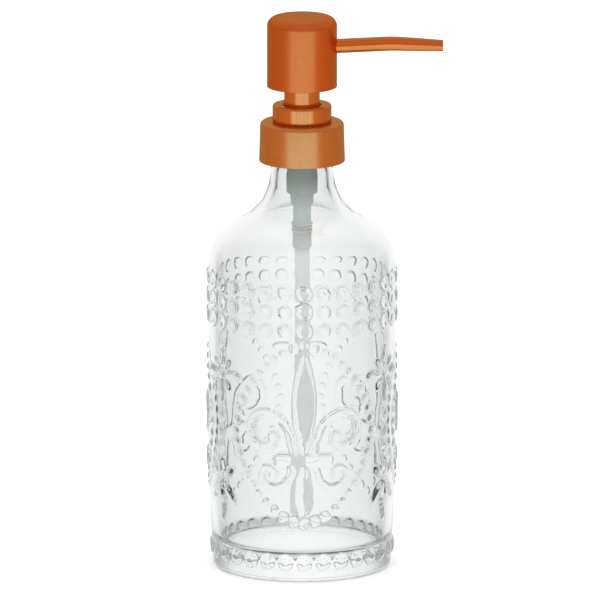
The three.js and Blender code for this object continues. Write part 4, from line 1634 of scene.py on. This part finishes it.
@dataclass
class Head:
    """The pump head: plastic core, copper shell, sleeve and spout."""

    shell_wall: float = 0.6
    shell_round: float = 5.0
    dome: float = 0.3
    sleeve_taper: float = 0.25
    sleeve_wall: float = 0.45
    spout_radius: float = 3.05
    spout_tip: float = 2.45
    spout_bore: float = 1.8
    spout_bend: float = 37.6
    spout_blend: float = 3.0
    taper_lead: float = 6.0
    tip_length: float = 1.6
    root_rings: int = 13
    taper_rings: int = 12
    bore_rings: int = 24
    climb: float = 0.048
    fall: float = 0.042
    spout_height: float = 17.3
    stem_radius: float = 3.2
    ball_bore: float = 2.1
    channel: float = 1.5
    boss: float = 5.5
    plate: float = 1.5
    socket_start: float = 4.5
    socket_length: float = 8.6
    sides: int = 200

    def build(self) -> Pieces:
        """Builds each piece.

        Returns:
            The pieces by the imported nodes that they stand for.
        """
        return {
            "head_shell": self.shell(),
            "spout_tube": self.spout(),
            "stem_sleeve": self.sleeve(),
            "head_core": self.core(),
        }

    def dress(self, pieces: Pieces) -> None:
        """Gives each piece its finish and its body.

        Args:
            pieces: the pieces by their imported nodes.
        """
        place(pieces["head_shell"], "head_shell", Body.HEAD, SATIN_COPPER)
        place(pieces["spout_tube"], "spout_tube", Body.HEAD, SPOUT_COPPER)
        place(pieces["stem_sleeve"], "stem_sleeve", Body.HEAD, BRIGHT_COPPER)
        place(pieces["head_core"], "head_core", Body.HEAD, WHITE)

    def spout_axis(self) -> float:
        """Height of the spout's axis at the head."""
        return Span.of("head_shell").foot + self.spout_height

    def bar(self, radius: float, start: float, end: float) -> bpy.types.Object:
        """A round bar along X at the spout's height, for cutting or joining.

        Args:
            radius: its radius.
            start: where it starts along X.
            end: where it ends.

        Returns:
            The bar's object.
        """
        work = cylinder(radius, end - start, 64)
        lay_along_x(work)
        middle = Vector(((start + end) / 2, 0, self.spout_axis())) * MM
        bmesh.ops.translate(work, verts=work.verts, vec=middle)
        return mesh_object("bar_tool", work)

    def shell(self) -> bpy.types.Object:
        """The copper cap of the head, open below, with a hole for the spout.

        Returns:
            The finished object.
        """
        span = Span.of("head_shell")
        fillet = span.top - self.dome
        inner = span.radius - self.shell_wall
        outside = rounded(
            [
                (inner, span.foot + 1.0, 0),
                (inner, span.foot, 0.15),
                (span.radius, span.foot, 0.25),
                (span.radius, fillet, self.shell_round),
                (span.radius - self.shell_round - 3.0, fillet + 0.16, 3.0),
                (0, span.top, 0),
            ],
            closed=False,
            steps=14,
        )
        inside = rounded(
            [
                (0, span.top - self.shell_wall, 0),
                (inner, fillet - self.shell_wall, self.shell_round - self.shell_wall),
                (inner, span.foot + 1.0, 0),
            ],
            closed=False,
            steps=10,
        )
        shell = mesh_object("head_plated", spun(inside[:-1] + outside, self.sides, closed=False))
        hole = self.bar(self.spout_radius + GAP, span.radius - 3, span.radius + 2)
        cut(shell, hole)
        return self.creased(shell)

    def creased(self, piece: bpy.types.Object) -> bpy.types.Object:
        """Marks the sharp edges of a piece again after a cut.

        Args:
            piece: the piece.

        Returns:
            The same piece.
        """
        work = bmesh.new()
        work.from_mesh(piece.data)
        name = piece.name
        old = piece.data
        bpy.data.objects.remove(piece)
        bpy.data.meshes.remove(old)
        return mesh_object(name, work)

    def drift(self, reach: float) -> float:
        """How far the spout's axis has risen at a distance along X.

        Args:
            reach: a distance from the axis along X.

        Returns:
            How far the spout has moved there.
        """
        past = reach - Span.of("head_shell").radius
        risen = self.climb * max(past, 0.0)
        over = reach - self.spout_bend
        share = min(max((over + self.spout_blend) / (2 * self.spout_blend), 0.0), 1.0)
        bend = (self.climb + self.fall) * self.spout_blend * share**2
        return risen - bend - (self.climb + self.fall) * max(over - self.spout_blend, 0.0)

    def spout(self) -> bpy.types.Object:
        """The slender copper spout: it climbs a little, then dips to a rounded tip.

        Returns:
            The finished object.
        """
        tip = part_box("spout_tube")[1].x / MM
        start = self.socket_start + 2 * GAP
        taper = self.spout_bend - self.taper_lead
        corners = [(self.spout_bore, start, 0.2), (self.spout_radius, start, 0.3)]
        for k in range(self.root_rings):
            reach = start + (taper - start) * (k + 1) / self.root_rings
            corners.append((self.spout_radius, reach, 0))
        for k in range(1, self.taper_rings + 1):
            share = k / self.taper_rings
            reach = taper + (tip - self.tip_length - taper) * share
            corners.append((self.width(share), reach, 0))
        corners += [(self.spout_tip, tip, 0.75), (self.spout_bore, tip, 0.3)]
        for k in range(1, self.bore_rings):
            corners.append((self.spout_bore, tip + (start - tip) * k / self.bore_rings, 0))
        work = spun(rounded(corners, steps=6), 96)
        lay_along_x(work)
        axis = self.spout_axis()
        for vert in work.verts:
            vert.co.z += (axis + self.drift(vert.co.x / MM)) * MM
        return mesh_object("spout_plated", work)

    def width(self, share: float) -> float:
        """The spout's radius at a share of its tapering length."""
        return self.spout_radius + (self.spout_tip - self.spout_radius) * share**2

    def sleeve(self) -> bpy.types.Object:
        """The copper sleeve round the stem, a little wider at its foot.

        Returns:
            The finished object.
        """
        span = Span.of("stem_sleeve")
        head_foot = Span.of("head_shell").foot
        top = span.radius - self.sleeve_taper
        corners = [
            (top - self.sleeve_wall, span.foot, 0.1),
            (span.radius, span.foot, 0.15),
            (top, head_foot, 0.5),
            (top, span.top, 0.15),
            (top - self.sleeve_wall, span.top, 0.1),
        ]
        return mesh_object("sleeve_plated", spun(rounded(corners, steps=4), 160))

    def core(self) -> bpy.types.Object:
        """The white core that joins the stem, the shell and the spout.

        Returns:
            The finished object.
        """
        shell = Span.of("head_shell")
        sleeve = Span.of("stem_sleeve")
        stem_top = Span.of("pump_stem").top
        ball_top = Span.of("outlet_ball").top + 1.35
        plate = sleeve.top + GAP
        skirt = sleeve.radius - self.sleeve_taper - self.sleeve_wall - GAP
        wide = shell.radius - self.shell_wall - GAP
        top_plate = shell.top - self.dome - self.shell_round + 1.6
        corners = [
            (0, ball_top, 0),
            (self.ball_bore, ball_top, 0.2),
            (self.ball_bore, stem_top + GAP, 0.1),
            (self.stem_radius + GAP, stem_top + GAP, 0.1),
            (self.stem_radius + GAP, sleeve.foot + 0.3, 0.3),
            (skirt, sleeve.foot + 0.3, 0.3),
            (skirt, plate, 0.1),
            (wide, plate, 0.2),
            (wide, plate + self.plate, 0.2),
            (self.boss, plate + self.plate, 0.5),
            (self.boss, top_plate, 0.4),
            (shell.radius - self.shell_wall - 2.5, top_plate, 0.3),
            (shell.radius - self.shell_wall - 2.5, top_plate + 1.4, 0.5),
            (0, top_plate + 1.4, 0),
        ]
        outline = rounded(corners, closed=False, steps=3)
        core = mesh_object("core_moulded", spun(outline, 72, closed=False))
        end = self.socket_start + self.socket_length
        join(core, self.bar(self.spout_radius + GAP + 1.25, 0.5, end))
        cut(core, self.bar(self.spout_radius + GAP, self.socket_start, end + 1))
        cut(core, self.bar(self.channel, -0.2, self.socket_start + 1))
        riser = cylinder(self.channel, self.spout_axis() - ball_top + 1, 48)
        middle = Vector((0, 0, (self.spout_axis() + ball_top - 1) / 2)) * MM
        bmesh.ops.translate(riser, verts=riser.verts, vec=middle)
        cut(core, mesh_object("riser_tool", riser))
        return self.creased(core)


# ---------------------------------------------------------------------------- studio


class Ray(Enum):
    """Light-path outputs that tell what a ray has met."""

    MIRROR = "Is Glossy Ray"
    CLEAR = "Is Singular Ray"
    GLASS = "Transmission Depth"
    TURNED = "Glossy Depth"
    MATT = "Diffuse Depth"


@dataclass
class Tent(NodeTree):
    """The light tent round the object, seen in mirrors and through glass.

    A turn of 0 is in front of the object, 0.5 beside it and 1 behind it. Each stop is
    (turn, grey), and warm stops are tinted like the warm side cards.
    """

    white: float = 1.3
    warm: Colour = (1.55, 0.72, 0.24)
    roof: Colour = (1.5, 0.8, 0.4)
    warm_turns: Point = (0.24, 0.8)
    cool: Colour = (0.9, 1.04, 0.98)
    mirror_low: tuple[Point, ...] = (
        (0.0, 0.97),
        (0.05, 0.84),
        (0.08, 1.0),
        (0.12, 0.78),
        (0.15, 0.96),
        (0.2, 0.92),
        (0.27, 0.44),
        (0.6, 0.36),
        (0.85, 0.44),
        (1.0, 0.5),
    )
    mirror_high: tuple[Point, ...] = ((0.0, 0.42), (0.4, 0.36), (0.7, 0.42), (1.0, 0.55))
    strip: tuple[Point, ...] = ((0.5, 0.0), (0.53, 0.5), (0.56, 0.5), (0.64, 0.0))
    strip_grey: tuple[Point, ...] = ((0.0, 0.1), (1.0, 0.2))
    glass_low: tuple[Point, ...] = (
        (0.0, 0.55),
        (0.28, 0.35),
        (0.36, 0.04),
        (0.68, 0.04),
        (0.76, 0.66),
        (0.82, 0.9),
        (1.0, 1.03),
    )
    through: tuple[Point, ...] = (
        (0.0, 0.96),
        (0.3, 0.9),
        (0.42, 0.4),
        (0.62, 0.4),
        (0.72, 0.78),
        (0.82, 0.9),
        (1.0, 0.99),
    )
    glass_high: tuple[Point, ...] = ((0.0, 0.9), (0.4, 0.25), (0.6, 0.2), (0.78, 0.9), (1.0, 1.0))
    ground: tuple[Point, ...] = ((0.0, 0.6), (0.22, 0.5), (0.34, 0.0), (1.0, 0.0))
    ground_grey: tuple[Point, ...] = ((0.0, 0.2), (1.0, 0.3))

    def build(self) -> None:
        """Makes the world: white, with a pattern for mirrors and two for glass.

        Rays that pass through the glass see one pattern, and rays that were also
        turned back inside it see a darker one.
        """
        world = bpy.data.worlds.new("studio_tent")
        bpy.context.scene.world = world
        world.use_nodes = True
        self.tree = world.node_tree
        sky = self.tree.nodes["Background"]
        axes = self.add("ShaderNodeSeparateXYZ")
        self.link(self.add("ShaderNodeTexCoord").outputs["Generated"], axes.inputs["Vector"])
        back = self.math("MULTIPLY", axes.outputs["Y"], -1.0)
        bearing = self.math("ARCTAN2", axes.outputs["X"], back)
        turn = self.math("DIVIDE", self.math("ABSOLUTE", bearing), math.pi)
        level = self.math("MULTIPLY_ADD", axes.outputs["Z"], 4.0, 0.5)
        height = self.math("MULTIPLY_ADD", axes.outputs["Z"], 0.5, 0.5)
        mirror = self.mix(
            level,
            self.greys(turn, self.mirror_low, self.card_tint),
            self.greys(turn, self.mirror_high, self.roof_tint),
        )
        dark = self.greys(turn, self.strip_grey)
        mirror = self.mix(self.greys(height, self.strip), mirror, dark)
        glass = self.mix(
            level,
            self.greys(turn, self.glass_low, self.glass_tint),
            self.greys(turn, self.glass_high, self.glass_tint),
        )
        under = self.greys(turn, self.ground_grey, self.glass_tint)
        glass = self.mix(self.greys(height, self.ground), glass, under)
        path = self.add("ShaderNodeLightPath")
        clear = self.greys(turn, self.through, self.glass_tint)
        clear = self.mix(self.greys(height, self.ground), clear, under)
        glass = self.mix(path.outputs[Ray.TURNED.value], clear, glass)
        plain = self.greys(turn, ((0.0, self.white), (1.0, self.white)))
        seen = self.mix(path.outputs[Ray.MIRROR.value], plain, mirror)
        seen = self.mix(path.outputs[Ray.CLEAR.value], seen, glass)
        seen = self.mix(path.outputs[Ray.GLASS.value], seen, glass)
        seen = self.mix(path.outputs[Ray.MATT.value], seen, plain)
        self.link(seen, sky.inputs["Color"])

    def card_tint(self, turn: float, grey: float) -> Colour:
        """The mirror pattern's colour: warm where the side cards stand.

        Args:
            turn: the place round the room.
            grey: the card's grey.

        Returns:
            The card's colour.
        """
        low, high = self.warm_turns
        tint = self.warm if low < turn < high else (1.0, 1.0, 1.0)
        return tuple(grey * part for part in tint)

    def roof_tint(self, turn: float, grey: float) -> Colour:
        """The mirror pattern's colour overhead: warm except behind the object."""
        tint = self.roof if turn < self.warm_turns[1] else (1.0, 1.0, 1.0)
        return tuple(grey * part for part in tint)

    def glass_tint(self, turn: float, grey: float) -> Colour:
        """The glass pattern's colour: greener as it darkens."""
        share = max(1.0 - grey, 0.0)
        return tuple(grey * (1 + (part - 1) * share) for part in self.cool)

    def math(self, kind: str, *values: object) -> bpy.types.NodeSocket:
        """Works out a value, clamped from 0 to 1 if it is a scaled sum.

        Args:
            kind: the operation's name.
            values: sockets or numbers, in the operation's order.

        Returns:
            The result's socket.
        """
        node = self.add("ShaderNodeMath")
        node.operation = kind
        node.use_clamp = kind == "MULTIPLY_ADD"
        for socket, value in zip(node.inputs, values):
            if isinstance(value, float):
                socket.default_value = value
            else:
                self.link(value, socket)
        return node.outputs[0]

    def greys(
        self,
        value: bpy.types.NodeSocket,
        stops: Sequence[Point],
        tint: Callable[[float, float], Colour] = lambda _, grey: (grey, grey, grey),
    ) -> bpy.types.NodeSocket:
        """Turns a value into tinted greys.

        Args:
            value: the socket that is read.
            stops: (place, grey) of each stop.
            tint: gives the colour at a place and grey.

        Returns:
            The colour's socket.
        """
        return self.ramp(value, [(where, tint(where, grey)) for where, grey in stops])

    def mix(self, share: object, low: object, high: object) -> bpy.types.NodeSocket:
        """Mixes two colours by a share.

        Args:
            share: the socket that chooses between the two.
            low: the colour at nought.
            high: the colour at one.

        Returns:
            The chosen colour's socket.
        """
        node = self.add("ShaderNodeMixRGB")
        for socket, source in zip(node.inputs, (share, low, high)):
            self.link(source, socket)
        return node.outputs["Color"]


@dataclass
class Studio:
    """A pale floor, a soft tent of light and a long-lens camera."""

    view_height: float = 113.4
    view_side: float = -0.85
    elevation: float = 12.3
    distance: float = 9.0
    frame_width: float = 252.7
    sensor: float = 36.0
    floor_radius: float = 4.0
    lamp_height: float = 1.5
    lamp_size: float = 1.8
    lamp_power: float = 8.0
    bounces: int = 48
    glass_bounces: int = 40
    brightest_bounce: float = 8.0

    def build(self) -> None:
        """Sets the camera, the floor, the light and the tent."""
        self.camera()
        self.floor()
        self.lamp()
        Tent().build()
        view = bpy.context.scene.view_settings
        view.view_transform = "Standard"
        view.look = "None"
        cycles = bpy.context.scene.cycles
        cycles.max_bounces = self.bounces
        cycles.transmission_bounces = self.glass_bounces
        cycles.glossy_bounces = self.glass_bounces
        cycles.use_denoising = True
        cycles.sample_clamp_indirect = self.brightest_bounce

    def camera(self) -> None:
        """Aims the camera at the middle of the object."""
        lens = bpy.data.cameras.new("studio_camera")
        camera = bpy.data.objects.new("studio_camera", lens)
        bpy.context.scene.collection.objects.link(camera)
        tilt = math.radians(self.elevation)
        target = Vector((self.view_side * MM, 0, self.view_height * MM))
        away = Vector((0, -math.cos(tilt), math.sin(tilt)))
        camera.location = target + away * self.distance
        camera.rotation_euler = (-away).to_track_quat("-Z", "Y").to_euler()
        lens.sensor_width = self.sensor
        lens.lens = self.sensor * self.distance / (self.frame_width * MM)
        lens.clip_end = 100.0
        bpy.context.scene.camera = camera

    def floor(self) -> None:
        """Lays a wide pale disc that mirrors and glass look past."""
        work = bmesh.new()
        bmesh.ops.create_circle(work, cap_ends=True, segments=96, radius=self.floor_radius)
        floor = mesh_object("studio_floor", work)
        wiring = Wiring("pale_floor")
        wiring.set(Roughness=0.9, Specular_IOR_Level=0.1)
        tone = wiring.noise(3.0, 2.0)
        colour = wiring.ramp(tone, [(0.3, (0.9, 0.9, 0.9)), (0.7, (0.92, 0.92, 0.92))])
        wiring.link(colour, wiring.shader.inputs["Base Color"])
        floor.data.materials.append(wiring.material)
        floor.visible_glossy = False
        floor.visible_transmission = False

    def lamp(self) -> None:
        """Hangs a wide soft light that the camera, mirrors and glass don't see."""
        light = bpy.data.lights.new("overhead_softbox", "AREA")
        light.shape = "SQUARE"
        light.size = self.lamp_size
        light.energy = self.lamp_power
        lamp = bpy.data.objects.new("overhead_softbox", light)
        lamp.location = (0.0, 0.0, self.lamp_height)
        lamp.visible_camera = False
        lamp.visible_glossy = False
        lamp.visible_transmission = False
        bpy.context.scene.collection.objects.link(lamp)


def main() -> None:
    """Builds every sub-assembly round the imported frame."""
    logging.basicConfig(level=logging.INFO, format="%(message)s")
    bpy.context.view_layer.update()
    Studio().build()
    for part in (Bottle(), PumpUnit(), Closure(), Plunger(), Head()):
        pieces = part.build()
        part.dress(pieces)
        for node, piece in pieces.items():
            LOG.info("%s stands for %s, %d faces", piece.name, node, len(piece.data.polygons))


if __name__ == "__main__":
    main()
